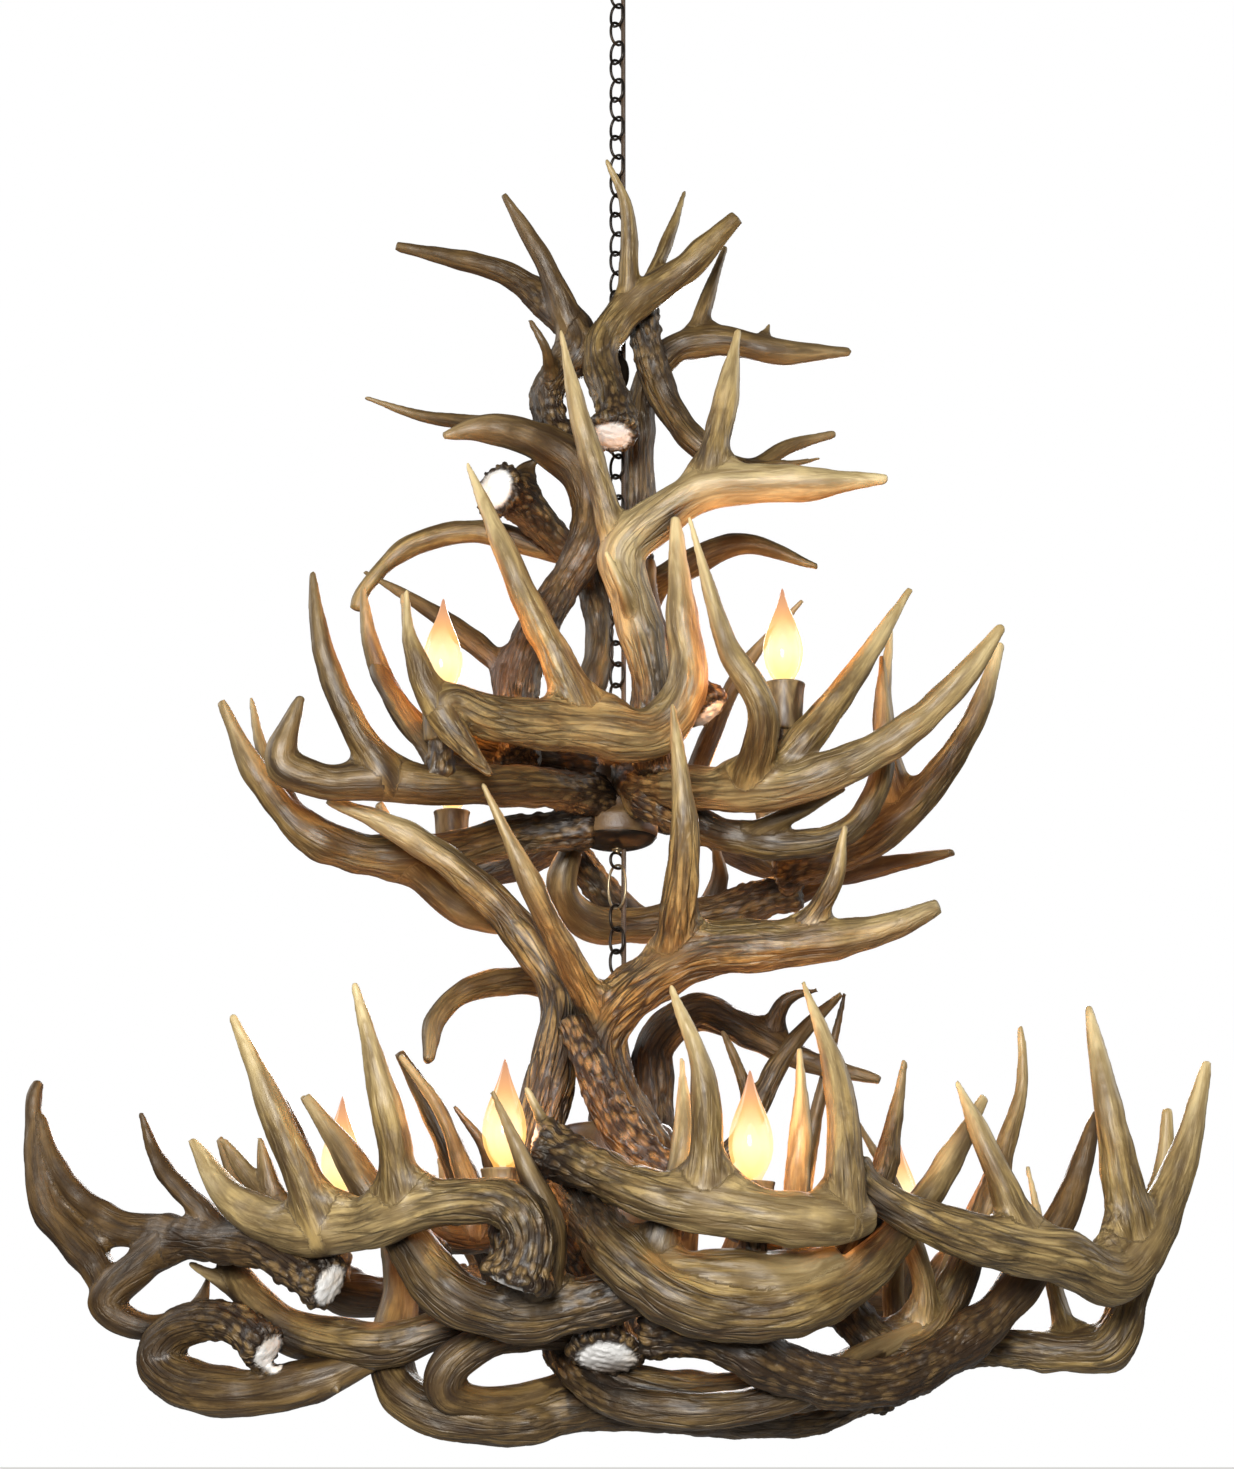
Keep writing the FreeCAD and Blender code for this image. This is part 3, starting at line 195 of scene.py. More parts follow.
floor_material, tree, shader = new_material("pale_floor")
to_camera = wire(tree, "LightPath").outputs["Is Camera Ray"]
fill(tree, shader, Roughness=0.9, Emission_Color=(1.0, 0.99, 0.97, 1.0),
     Base_Color=blend_colours(tree, to_camera, (0.26, 0.25, 0.24, 1.0), (0.36, 0.35, 0.34, 1.0)),
     Emission_Strength=operate(tree, "MULTIPLY", to_camera, FLOOR_GLOW))
floor_mesh.materials.append(floor_material)

world = bpy.data.worlds.new("surround")
world.use_nodes = True
bpy.context.scene.world = world
tree = world.node_tree
tree.nodes.clear()
white = wire(tree, "Background", None, Color=(1.0, 1.0, 1.0, 1.0), Strength=1.0)
dim = wire(tree, "Background", None, Color=(1.0, 0.97, 0.93, 1.0), Strength=FILL_STRENGTH)
ray = wire(tree, "LightPath")
seen = operate(tree, "MAXIMUM", ray.outputs["Is Camera Ray"], ray.outputs["Is Transmission Ray"])
reflected = operate(tree, "MULTIPLY", ray.outputs["Is Glossy Ray"], REFLECTED_SHARE)
surround = wire(tree, "MixShader", None, i0=operate(tree, "MAXIMUM", seen, reflected), i1=dim.outputs[0],
                i2=white.outputs[0])
wire(tree, "OutputWorld", None, Surface=surround.outputs[0])


def soft_lamp(name, place, aim, size, power):
    """A square area lamp at a place, turned to its aim."""
    data = bpy.data.lights.new(name, "AREA")
    data.size = size
    data.energy = power
    lamp = add(name, data)
    lamp.location = place
    lamp.rotation_euler = (Vector(aim) - Vector(place)).to_track_quat("-Z", "Y").to_euler()


MIDDLE = (0.0, 0.0, -1.0)
soft_lamp("front_lamp", (-0.35, -3.0, -0.7), MIDDLE, 0.8, 131.0)
soft_lamp("left_lamp", (-2.6, 0.5, 0.3), MIDDLE, 1.4, 30.0)
soft_lamp("right_lamp", (2.6, 0.7, 0.3), MIDDLE, 1.4, 30.0)
soft_lamp("back_lamp", (0.4, 3.0, 0.0), MIDDLE, 1.2, 75.0)
print("lamps", len(bpy.data.lights))

# %% [markdown]
# Two effects are shared. Streaks are the fine grooves that run along an antler: a noise that is
# long in one direction and short in the other two, read from a coordinate that follows the beam.
# Patina is the uneven finish of the metal and the stained hubs.

# %% Shared node groups
streaks, streaks_in, streaks_out = new_group(
    "streaks", [("Along", "Vector", None), ("Scale", "Float", 1.0)], [("Fine", "Float"), ("Broad", "Float")])
for label, size, detail, roughness, distortion in (("Fine", 430.0, 4.0, 0.6, 0.25), ("Broad", 105.0, 3.0, 0.55, 0.6)):
    noise = wire(streaks, "TexNoise", None, Vector=streaks_in.outputs["Along"], Detail=detail, Roughness=roughness,
                 Distortion=distortion, Scale=operate(streaks, "MULTIPLY", streaks_in.outputs["Scale"], size))
    streaks.links.new(noise.outputs["Fac"], streaks_out.inputs[label])

FULL_WEAR = 0.95
patina, patina_in, patina_out = new_group(
    "patina", [("Dark", "Color", (0.03, 0.025, 0.02, 1)), ("Worn", "Color", (0.2, 0.13, 0.07, 1)),
               ("Scale", "Float", 60.0), ("Wear", "Float", 0.5)],
    [("Color", "Color"), ("Roughness", "Float"), ("Height", "Float")])
patina_place = wire(patina, "TexCoord").outputs["Object"]
cloud = wire(patina, "TexNoise", None, Vector=patina_place, Scale=patina_in.outputs["Scale"], Detail=6.0,
             Roughness=0.6).outputs["Fac"]
scuff = wire(patina, "TexNoise", None, Vector=patina_place, Scale=900.0, Detail=2.0).outputs["Fac"]
worn = band(patina, cloud, operate(patina, "SUBTRACT", FULL_WEAR, patina_in.outputs["Wear"]), FULL_WEAR)
fill(patina, patina_out, Color=blend_colours(patina, worn, patina_in.outputs["Dark"], patina_in.outputs["Worn"]),
     Roughness=spread(patina, cloud, 0.3, 0.7, 0.28, 0.55), Height=scuff)
print("groups", [g.name for g in (streaks, patina)])

# %% [markdown]
# ## The antler finish
# Lacquered antler is khaki on its worn, raised places and dark brown in its grooves. It turns
# ivory towards each tip and nearly black among the pearls at its base. The sawn or shed burr face
# is chalk white. Each mesh carries what the finish needs. "along" is a coordinate that follows the
# beam. "tip", "root", "chalk", "groove" and "grain" are masks, and so is the painted shade mask,
# which darkens a surface facing a neighbouring antler close by. "tone" makes one antler darker than another.

# %% Antler material
KHAKI_STOPS = [(0.33, (0.052, 0.028, 0.009, 1)), (0.50, (0.156, 0.097, 0.029, 1)), (0.67, (0.355, 0.240, 0.082, 1))]
STREAK_BROWN = (0.018, 0.009, 0.003, 1)
RIDGE_KHAKI = (0.500, 0.385, 0.185, 1)
STAIN_BROWN = (0.070, 0.035, 0.010, 1)
IVORY = (0.420, 0.300, 0.125, 1), (0.720, 0.575, 0.300, 1)
OLD_TONE = (0.24, 0.160, 0.095, 1)
CRACK_BROWN = (0.014, 0.007, 0.003, 1)
GROOVE_BROWN = (0.015, 0.007, 0.003, 1)
BEAD_GAPS = (0.016, 0.007, 0.003, 1)
BEADS = (0.200, 0.124, 0.046, 1), (0.055, 0.026, 0.009, 1)
CHALK = (0.84, 0.83, 0.80, 1), (0.66, 0.54, 0.40, 1)
# Painted shade: the dark brown that is multiplied in where another antler comes close.
PAINTED_SHADE_BROWN = (0.10, 0.055, 0.025, 1)

antler_finish, tree, shader = new_material("lacquered_antler")
along = wire(tree, "Attribute", {"attribute_name": "along"}).outputs["Vector"]
tip_mask, root_mask, chalk_mask, groove_mask, grain_mask, painted_shade_mask, tone = [
    wire(tree, "Attribute", {"attribute_name": label}).outputs["Fac"]
    for label in ("tip", "root", "chalk", "groove", "grain", "painted_shade", "tone")]
flow = use_group(tree, streaks, Along=along, Scale=1.0)
fine, broad = flow.outputs["Fine"], flow.outputs["Broad"]
blotch = wire(tree, "TexNoise", None, Vector=wire(tree, "TexCoord").outputs["Object"], Scale=22.0, Detail=5.0,
              Roughness=0.62).outputs["Fac"]

dark_line = operate(tree, "MULTIPLY", band(tree, fine, 0.40, 0.50, 1.0, 0.0), grain_mask)
streaked = blend_colours(tree, dark_line, colour_ramp(tree, broad, KHAKI_STOPS), STREAK_BROWN)
ridged = blend_colours(tree, band(tree, fine, 0.52, 0.66, 0.0, 0.30), streaked, RIDGE_KHAKI)
stained = blend_colours(tree, band(tree, blotch, 0.46, 0.66, 0.0, 0.62), ridged, STAIN_BROWN)
tipped = blend_colours(tree, tip_mask, stained, blend_colours(tree, band(tree, broad, 0.36, 0.62), *IVORY))
toned = blend_colours(tree, tone, tipped, OLD_TONE, "MULTIPLY")

sway = wire(tree, "TexNoise", None, Vector=along, Scale=70.0, Detail=2.0)
crack_place = wire(tree, "VectorMath", {"operation": "MULTIPLY_ADD"}, i0=sway.outputs["Color"],
                   i1=(0.007, 0.007, 0.007), i2=along).outputs[0]
crack_cells = wire(tree, "TexVoronoi", {"feature": "DISTANCE_TO_EDGE"}, Vector=crack_place, Scale=165.0)
crack = operate(tree, "MULTIPLY", band(tree, crack_cells.outputs["Distance"], 0.015, 0.13, 1.0, 0.0),
                spread(tree, grain_mask, 0.10, 0.75, 0.0, 0.92))
cracked = blend_colours(tree, crack, toned, CRACK_BROWN)
grooved = blend_colours(tree, groove_mask, cracked, GROOVE_BROWN)

bark_place = wire(tree, "Mapping", None, Vector=along, Scale=(1.0, 1.0, 4.0)).outputs[0]
bark_cells = wire(tree, "TexVoronoi", {"feature": "SMOOTH_F1"}, Vector=bark_place, Scale=185.0, Smoothness=0.35)
bead_top = band(tree, bark_cells.outputs["Distance"], 0.22, 0.60, 1.0, 0.0)
bead_colour = blend_colours(tree, band(tree, blotch, 0.40, 0.64), *BEADS)
rooted = blend_colours(tree, root_mask, grooved, blend_colours(tree, bead_top, BEAD_GAPS, bead_colour))
chalked = blend_colours(tree, chalk_mask, rooted, blend_colours(tree, band(tree, blotch, 0.46, 0.70), *CHALK))
# Painted shade: darkens the colour where other antlers of the tier come close.
shaded = blend_colours(tree, painted_shade_mask, chalked, PAINTED_SHADE_BROWN, "MULTIPLY")

gloss = operate(tree, "MAXIMUM", spread(tree, fine, 0.35, 0.70, 0.56, 0.40),
                operate(tree, "MULTIPLY", chalk_mask, 0.9))
relief = operate(tree, "MULTIPLY", fine, spread(tree, grain_mask, start=0.35, end=1.3))
relief = operate(tree, "SUBTRACT", relief, crack)
relief = operate(tree, "ADD", relief, operate(tree, "MULTIPLY", bead_top, root_mask))
relief = operate(tree, "MULTIPLY", relief, spread(tree, chalk_mask, start=1.0, end=0.10))
fill(tree, shader, Base_Color=shaded, Roughness=gloss, Coat_Weight=spread(tree, chalk_mask, start=0.24, end=0.0),
     Coat_Roughness=0.36, Specular_Tint=(1.0, 0.92, 0.78, 1.0), Normal=bump(tree, relief, 0.75, 0.0024))
print("antler finish:", len(tree.nodes), "nodes")

# %% [markdown]
# ## Growing an antler
# An antler is a main beam and its tines. Each is drawn as a line of points with a radius, from the
# butt to the tip, and the same lines made the solids. A curve with a round bevel gives each line
# its flesh. A voxel remesh then melts beam and tines into one skin, as bone has no seams, and a few
# rounds of smoothing fill the crotches where a tine leaves the beam.

# %% Lines of an antler
STEP = 4.0 * MM
VOXEL = 2.2 * MM
CURVE_PARTS = 12
WEB_REACH = 2.3
WEB_PULL = 0.36
WEB_THICKNESS = 0.72


def sample_line(points):
    """Even samples along the smooth curve through the points, as rows of x, y, z, radius."""
    chain = np.vstack([2 * points[0] - points[1], points, 2 * points[-1] - points[-2]])
    share = np.arange(CURVE_PARTS)[:, None] / CURVE_PARTS
    fine = []
    for p0, p1, p2, p3 in zip(chain, chain[1:], chain[2:], chain[3:]):
        fine.append(0.5 * (2 * p1 + (p2 - p0) * share + (2 * p0 - 5 * p1 + 4 * p2 - p3) * share ** 2
                           + (3 * p1 - p0 - 3 * p2 + p3) * share ** 3))
    fine = np.vstack(fine + [points[-1:]])
    run = np.concatenate([[0], np.cumsum(np.linalg.norm(np.diff(fine[:, :3], axis=0), axis=1))])
    even = np.linspace(0, run[-1], max(4, int(run[-1] / STEP)))
    return np.column_stack([np.interp(even, run, fine[:, k]) for k in range(4)]), even


def carried_frames(line):
    """Along and two side directions at each sample, carried down the line without twist."""
    ahead = np.gradient(line[:, :3], axis=0)
    ahead /= np.linalg.norm(ahead, axis=1, keepdims=True)
    side = np.zeros_like(ahead)
    last = np.cross(ahead[0], (0.3, 0.2, 0.9))
    for i, direction in enumerate(ahead):
        last = last - direction * last.dot(direction)
        last /= np.linalg.norm(last)
        side[i] = last
    return ahead, side, np.cross(ahead, side)


def rumple(place, size, seed, waves=12):
    """Smooth uneven heights, about -1 to 1: a sum of plane waves in seeded directions."""
    dice = np.random.default_rng(seed)
    heading = dice.normal(size=(waves, 3))
    heading /= np.linalg.norm(heading, axis=1, keepdims=True)
    phase = dice.uniform(0, 2 * np.pi, waves)
    return np.sin(place @ (heading.T * 2 * np.pi / size) + phase).sum(1) / math.sqrt(waves)


def ramp(value, low, high):
    """Goes smoothly from 0 at low to 1 at high."""
    share = np.clip((value - low) / (high - low), 0, 1)
    return share * share * (3 - 2 * share)


def webs(lines):
    """Short thin lines in the crotches of each tine, so that the skin spreads there like a web.

    Each bends from the beam on one side of the tine's root, past the crotch, up into the tine.
    """
    extra = []
    beam = lines[0]
    for tine in lines[1:]:
        start = tine[0]
        root = np.argmin(np.linalg.norm(beam[:, :3] - start[:3], axis=1) - 0.2 * beam[:, 3])
        reach = beam[root, 3] + WEB_REACH * tine[len(tine) // 4, 3]
        climb = min(len(tine) - 2, np.searchsorted(np.linalg.norm(tine[:, :3] - beam[root, :3], axis=1), reach))
        crotch = beam[root, :3] + (tine[climb, :3] - beam[root, :3]) * WEB_PULL
        stride = int((1.5 * beam[root, 3] + 1.3 * tine[climb, 3]) / STEP)
        for foot in (max(root - stride, 0), min(root + stride, len(beam) - 1)):
            share = np.linspace(0, 1, 9)[:, None]
            curve = ((1 - share) ** 2 * beam[foot, :3] + 2 * share * (1 - share) * crotch
                     + share ** 2 * tine[climb, :3])
            thick = WEB_THICKNESS * ((1 - share) * min(beam[foot, 3], 1.2 * beam[root, 3]) + share * tine[climb, 3])
            extra.append(np.column_stack([curve, thick]))
    return extra


print("sample step", STEP, "voxel", VOXEL)

# %% [markdown]
# The skin starts as bevelled curves. Blender's curve object makes the tube, the Remesh modifier
# melts the tubes together, and the evaluated copy is kept as plain mesh.

# %% Skin from lines


def baked(piece):
    """A piece's shape after its curves and modifiers, as plain mesh."""
    return bpy.data.meshes.new_from_object(piece.evaluated_get(bpy.context.evaluated_depsgraph_get()))


def bevelled(name, lines, resolution, closed):
    """The mesh of round tubes along lines, whose rows are x, y, z, radius."""
    data = bpy.data.curves.new(name + "_lines", "CURVE")
    data.dimensions = "3D"
    data.bevel_depth = 1.0
    data.bevel_resolution = resolution
    data.use_fill_caps = not closed
    data.twist_mode = "MINIMUM"
    for line in lines:
        spline = data.splines.new("POLY")
        spline.points.add(len(line) - 1)
        spline.points.foreach_set("co", np.column_stack([line[:, :3], np.ones(len(line))]).ravel())
        spline.points.foreach_set("radius", line[:, 3])
        spline.use_cyclic_u = closed
    tubes = add(name + "_lines", data)
    mesh = baked(tubes)
    bpy.data.objects.remove(tubes)
    bpy.data.curves.remove(data)
    return mesh


def skin_from_lines(name, lines):
    """One closed mesh round all the lines."""
    raw = bevelled(name, lines, 4, False)
    piece = add(name, raw)
    remesh = piece.modifiers.new("melt", "REMESH")
    remesh.mode = "VOXEL"
    remesh.voxel_size = VOXEL
    melted = baked(piece)
    piece.modifiers.clear()
    piece.data = melted
    bpy.data.meshes.remove(raw)
    return piece


def read_points(mesh):
    """The mesh's points, as rows of x, y, z."""
    points = np.empty(len(mesh.vertices) * 3, np.float32)
    mesh.vertices.foreach_get("co", points)
    return points.reshape(-1, 3).astype(float)


def write_points(mesh, points):
    """Moves the mesh's points."""
    mesh.vertices.foreach_set("co", points.astype(np.float32).ravel())
    mesh.update()


def smooth_points(mesh, points, weight, rounds):
    """Moves each point towards the middle of its neighbours."""
    edges = np.empty(len(mesh.edges) * 2, np.int32)
    mesh.edges.foreach_get("vertices", edges)
    a, b = edges.reshape(-1, 2).T
    count = np.bincount(a, minlength=len(points)) + np.bincount(b, minlength=len(points))
    for _ in range(rounds):
        middle = np.column_stack([
            np.bincount(a, points[b, k], len(points)) + np.bincount(b, points[a, k], len(points))
            for k in range(3)]) / np.maximum(count, 1)[:, None]
        points = points + (middle - points) * weight[:, None]
    return points


def keep_mask(mesh, name, values):
    """Stores one number, or one vector, for each point of the mesh."""
    kind = "FLOAT_VECTOR" if values.ndim == 2 else "FLOAT"
    layer = mesh.attributes.new(name, kind, "POINT")
    layer.data.foreach_set("vector" if values.ndim == 2 else "value", values.astype(np.float32).ravel())


print("skin helpers ready")

# %% [markdown]
# The surface is carved in numbers, because a real antler's relief follows its own beam. For each
# point of the skin the nearest sample of the lines is found. That gives the distance from the butt,
# the place across the beam, and so a coordinate in which ridges run lengthwise. Ridges and grooves
# are cut along it, pearls rise near the butt, and the burr gets its ring of knobs and its bulging
# pale face.

# %% Carving
SMOOTHING_ROUNDS = 10
MASK_ROUNDS = 20
POINTS_AT_ONCE = 4000
CROTCH_REACH = 9 * MM
THIN_RADIUS = 9 * MM
FULL_RADIUS = 15 * MM
GRAIN_STRETCH = 0.12
TINE_SHIFT = 0.05
RIDGE_SIZE = 9.5 * MM
FINE_RIDGE_SIZE = 5.0 * MM
GROOVE_WIDTH = 0.13
PEARL_SIZE = 6.5 * MM
SWELL_SIZE = 62 * MM
LUMP_SIZE = 27 * MM
FACE_GRAIN_SIZE = 7 * MM
BURR_KNOBS = 13
# Painted shade: how far away and how strongly a neighbouring antler darkens a point.
PAINTED_SHADE_REACH = 34 * MM
PAINTED_SHADE_DEPTH = 0.92


def nearest_samples(points, lines):
    """For each point the nearest sample of the lines, and how much farther the next line is."""
    rows = np.vstack(lines)
    starts = np.cumsum([0] + [len(line) for line in lines[:-1]])
    nearest = np.empty(len(points), int)
    apart = np.full(len(points), 1.0)
    for first in range(0, len(points), POINTS_AT_ONCE):
        block = slice(first, first + POINTS_AT_ONCE)
        gap = np.linalg.norm(points[block, None, :] - rows[None, :, :3], axis=2) - rows[None, :, 3]
        nearest[block] = np.argmin(gap, axis=1)
        if len(lines) > 1:
            closest = np.sort(np.minimum.reduceat(gap, starts, axis=1), axis=1)
            apart[block] = closest[:, 1] - closest[:, 0]
    return nearest, apart


def painted_shade_near(points, normals, neighbours):
    """How much each point is shut in by the antlers beside it, from 0 to 1, used as painted shade."""
    if not len(neighbours):
        return np.zeros(len(points))
    tree = kdtree.KDTree(len(neighbours))
    for index, place in enumerate(neighbours[:, :3]):
        tree.insert(place, index)
    tree.balance()
    nearest = np.array([tree.find(point)[1] for point in points.tolist()])
    towards = neighbours[nearest, :3] - points
    distance = np.linalg.norm(towards, axis=1)
    facing = (towards * normals).sum(1) / np.maximum(distance, 1e-6)
    return (1 - ramp(distance - neighbours[nearest, 3], 0.0, PAINTED_SHADE_REACH)) * ramp(facing, -0.25, 0.75)


def carve(piece, lines, runs, burr, looks, seed, neighbours):
    """Displaces the skin and stores the masks that the finish reads. Heights are in millimetres."""
    tone_value, rough, grain_value, pale = looks
    mesh = piece.data
    points = read_points(mesh)
    rows = np.vstack(lines)
    frames = [carried_frames(line) for line in lines]
    ahead, side, other = (np.vstack([f[k] for f in frames]) for k in range(3))
    run = np.concatenate(runs)
    length = np.concatenate([np.full(len(r), r[-1]) for r in runs])
    which = np.concatenate([np.full(len(r), i) for i, r in enumerate(runs)])
    nearest, apart = nearest_samples(points, lines)
    clear = ramp(apart, 0.0, CROTCH_REACH)
    radius = rows[nearest, 3]
    points = smooth_points(mesh, points, np.clip(radius / THIN_RADIUS, 0.12, 0.6), SMOOTHING_ROUNDS)

    # Where each point is: across the line, along it, and round it.
    offset = points - rows[nearest, :3]
    u = (offset * side[nearest]).sum(1)
    v = (offset * other[nearest]).sum(1)
    travel = run[nearest] + (offset * ahead[nearest]).sum(1)
    out = np.hypot(u, v)
    angle = np.arctan2(v, u)
    along_beam = np.column_stack([u, v, travel * GRAIN_STRETCH + which[nearest] * TINE_SHIFT])
    on_beam = which[nearest] == 0
    share = travel / length[nearest]

    # Ivory tips, which a blunt beam lacks, a rough root, and a grain that fades towards the tips.
    pointed = 1 - ramp(lines[0][-1, 3], 6 * MM, 9 * MM)
    tip = np.where(on_beam, pointed * ramp(share, 0.74, 1.04), ramp(share, 0.40, 1.08)) * min(1, 1 + pale)
    tip = np.maximum(tip, pale * ramp(travel, 0.06, 0.16))
    root = np.where(on_beam, 1 - ramp(travel, 0.02, 0.12), 0.0) * (rough >= 0)
    root = np.maximum(root, rough * on_beam * (1 - ramp(share, 0.45, 0.75)))
    bulk = np.clip(radius / FULL_RADIUS, 0, 1.3)
    beam_grain = 1 - 0.75 * ramp(share, 0.25, 0.9)
    tine_grain = 0.5 * (1 - ramp(share, 0.1, 0.8)) + 0.12
    grain = grain_value * np.where(on_beam, beam_grain, tine_grain) * clear
    tip, root, grain = smooth_points(mesh, np.column_stack([tip, root, grain]), np.full(len(points), 0.7),
                                     MASK_ROUNDS).T

    # Ridges, grooves, pearls and slow swells.
    ridge = rumple(along_beam, RIDGE_SIZE, seed)
    fine_ridge = rumple(along_beam, FINE_RIDGE_SIZE, seed + 1)
    swell = rumple(points, SWELL_SIZE, seed + 2)
    groove = np.exp(-(ridge / GROOVE_WIDTH) ** 2) * bulk * (1 - tip)
    pearl = np.clip(rumple(np.column_stack([u, v, travel * 0.45]), PEARL_SIZE, seed + 3) - 0.3, 0, 1.2) * root
    lift = (0.45 * ridge + 0.25 * fine_ridge) * bulk * (1 - 0.8 * tip) * (0.5 + 1.2 * grain) - 0.9 * groove * grain
    lift = lift * (0.1 + 0.9 * clear)
    lift = lift + (1.2 * swell + 0.5 * rumple(points, LUMP_SIZE, seed + 5)) * bulk + 2.2 * pearl

    chalk = np.zeros(len(points))
    if burr:
        first = rows[0, 3]
        face = (travel < 2.5 * MM) & on_beam & (out < first * 1.1)
        collar = on_beam * np.exp(-((travel - 6 * MM) / (5 * MM)) ** 2) * (out > 0.9 * first)
        knobs = 0.5 + 0.5 * np.sin(angle * BURR_KNOBS + 2.2 * np.sin(angle * 3 + seed)) * np.cos(travel * 300)
        lift = lift + collar * (3.0 * knobs - 0.6)
        chalk = face * (1 - ramp(out, 0.80 * first, 0.98 * first))
        bulge = chalk * (2.4 * (1 - (out / first) ** 2) + 0.4 * rumple(points, FACE_GRAIN_SIZE, seed + 4))
        points = points - ahead[0] * (bulge * MM)[:, None]
        lift = np.where(chalk > 0.4, 0, lift)
    write_points(mesh, points)
    normals = np.empty(len(points) * 3, np.float32)
    mesh.vertex_normals.foreach_get("vector", normals)
    normals = normals.reshape(-1, 3)
    points = points + normals * (lift * MM)[:, None]
    write_points(mesh, points)
    mesh.shade_smooth()
    # The last of these masks is painted shade beside neighbouring antlers.
    for label, values in {
            "along": along_beam, "tip": tip * 0.9, "root": np.clip(root - 0.35 * np.clip(pearl * 2, 0, 1), 0, 1),
            "chalk": chalk, "groove": np.clip(groove * 1.1, 0, 0.9) * np.clip(grain, 0, 1),
            "grain": np.clip(grain, 0, 1), "tone": np.full(len(points), tone_value),
            "painted_shade": PAINTED_SHADE_DEPTH * painted_shade_near(points, normals, neighbours)}.items():
        keep_mask(mesh, label, values)


print("carving ready")

# %% [markdown]
# Two more steps make an antler from its table row: its lines are sampled, with the flare of its
# burr, and then its skin is made and carved.

# %% From a table row to an antler
SKIN_GAIN = 0.7 * MM
TIP_RADIUS = 2.6 * MM
BURR_THICKNESS = 9.0 * MM
FLARE_PLACES = np.array([0, 0.35, 1.0, 1.9]) * BURR_THICKNESS
FLARE_GAINS = [0.98, 1.28, 1.22, 1.0]


def dress(piece, material, body, slot, *nodes):
    """Gives a piece its finish, its body and the CAD nodes it stands for."""
    piece.data.materials.clear()
    piece.data.materials.append(material)
    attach(piece, body)
    if nodes:
        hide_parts(*nodes)


def antler_lines(beam, tines, burr, datum):
    """The sampled lines of one antler in metres, with the flare of its burr, and their lengths."""
    lines = []
    runs = []
    for line in [np.array(rows, float) * MM for rows in [beam, *tines]]:
        line[:, 2] += datum
        samples, run = sample_line(line)
        samples[:, 3] = np.maximum(samples[:, 3] + SKIN_GAIN, TIP_RADIUS)
        lines.append(samples)
        runs.append(run)
    if burr:
        lines[0][:, 3] *= np.interp(runs[0], FLARE_PLACES, FLARE_GAINS)
    return lines, runs


def grow_antler(name, node, body, lines, runs, burr, looks, seed, neighbours):
    """One antler that stands for its CAD node. Looks are its tone, roughness, grain and paleness."""
    piece = skin_from_lines(name + "_skin", lines + webs(lines))
    carve(piece, lines, runs, burr, looks, seed, neighbours)
    dress(piece, antler_finish, body, "antler", node)
    return len(piece.data.polygons)


print("antlers ready to grow")

# %% [markdown]
# ## The antlers' lines
# Each row is a name, whether the butt shows its burr, the main beam, and the tines. A point is
# x, y, the height above the bottom of its section's hub, and the radius, in millimetres.

# %% Antler lines
BURR = True
PLAIN = False

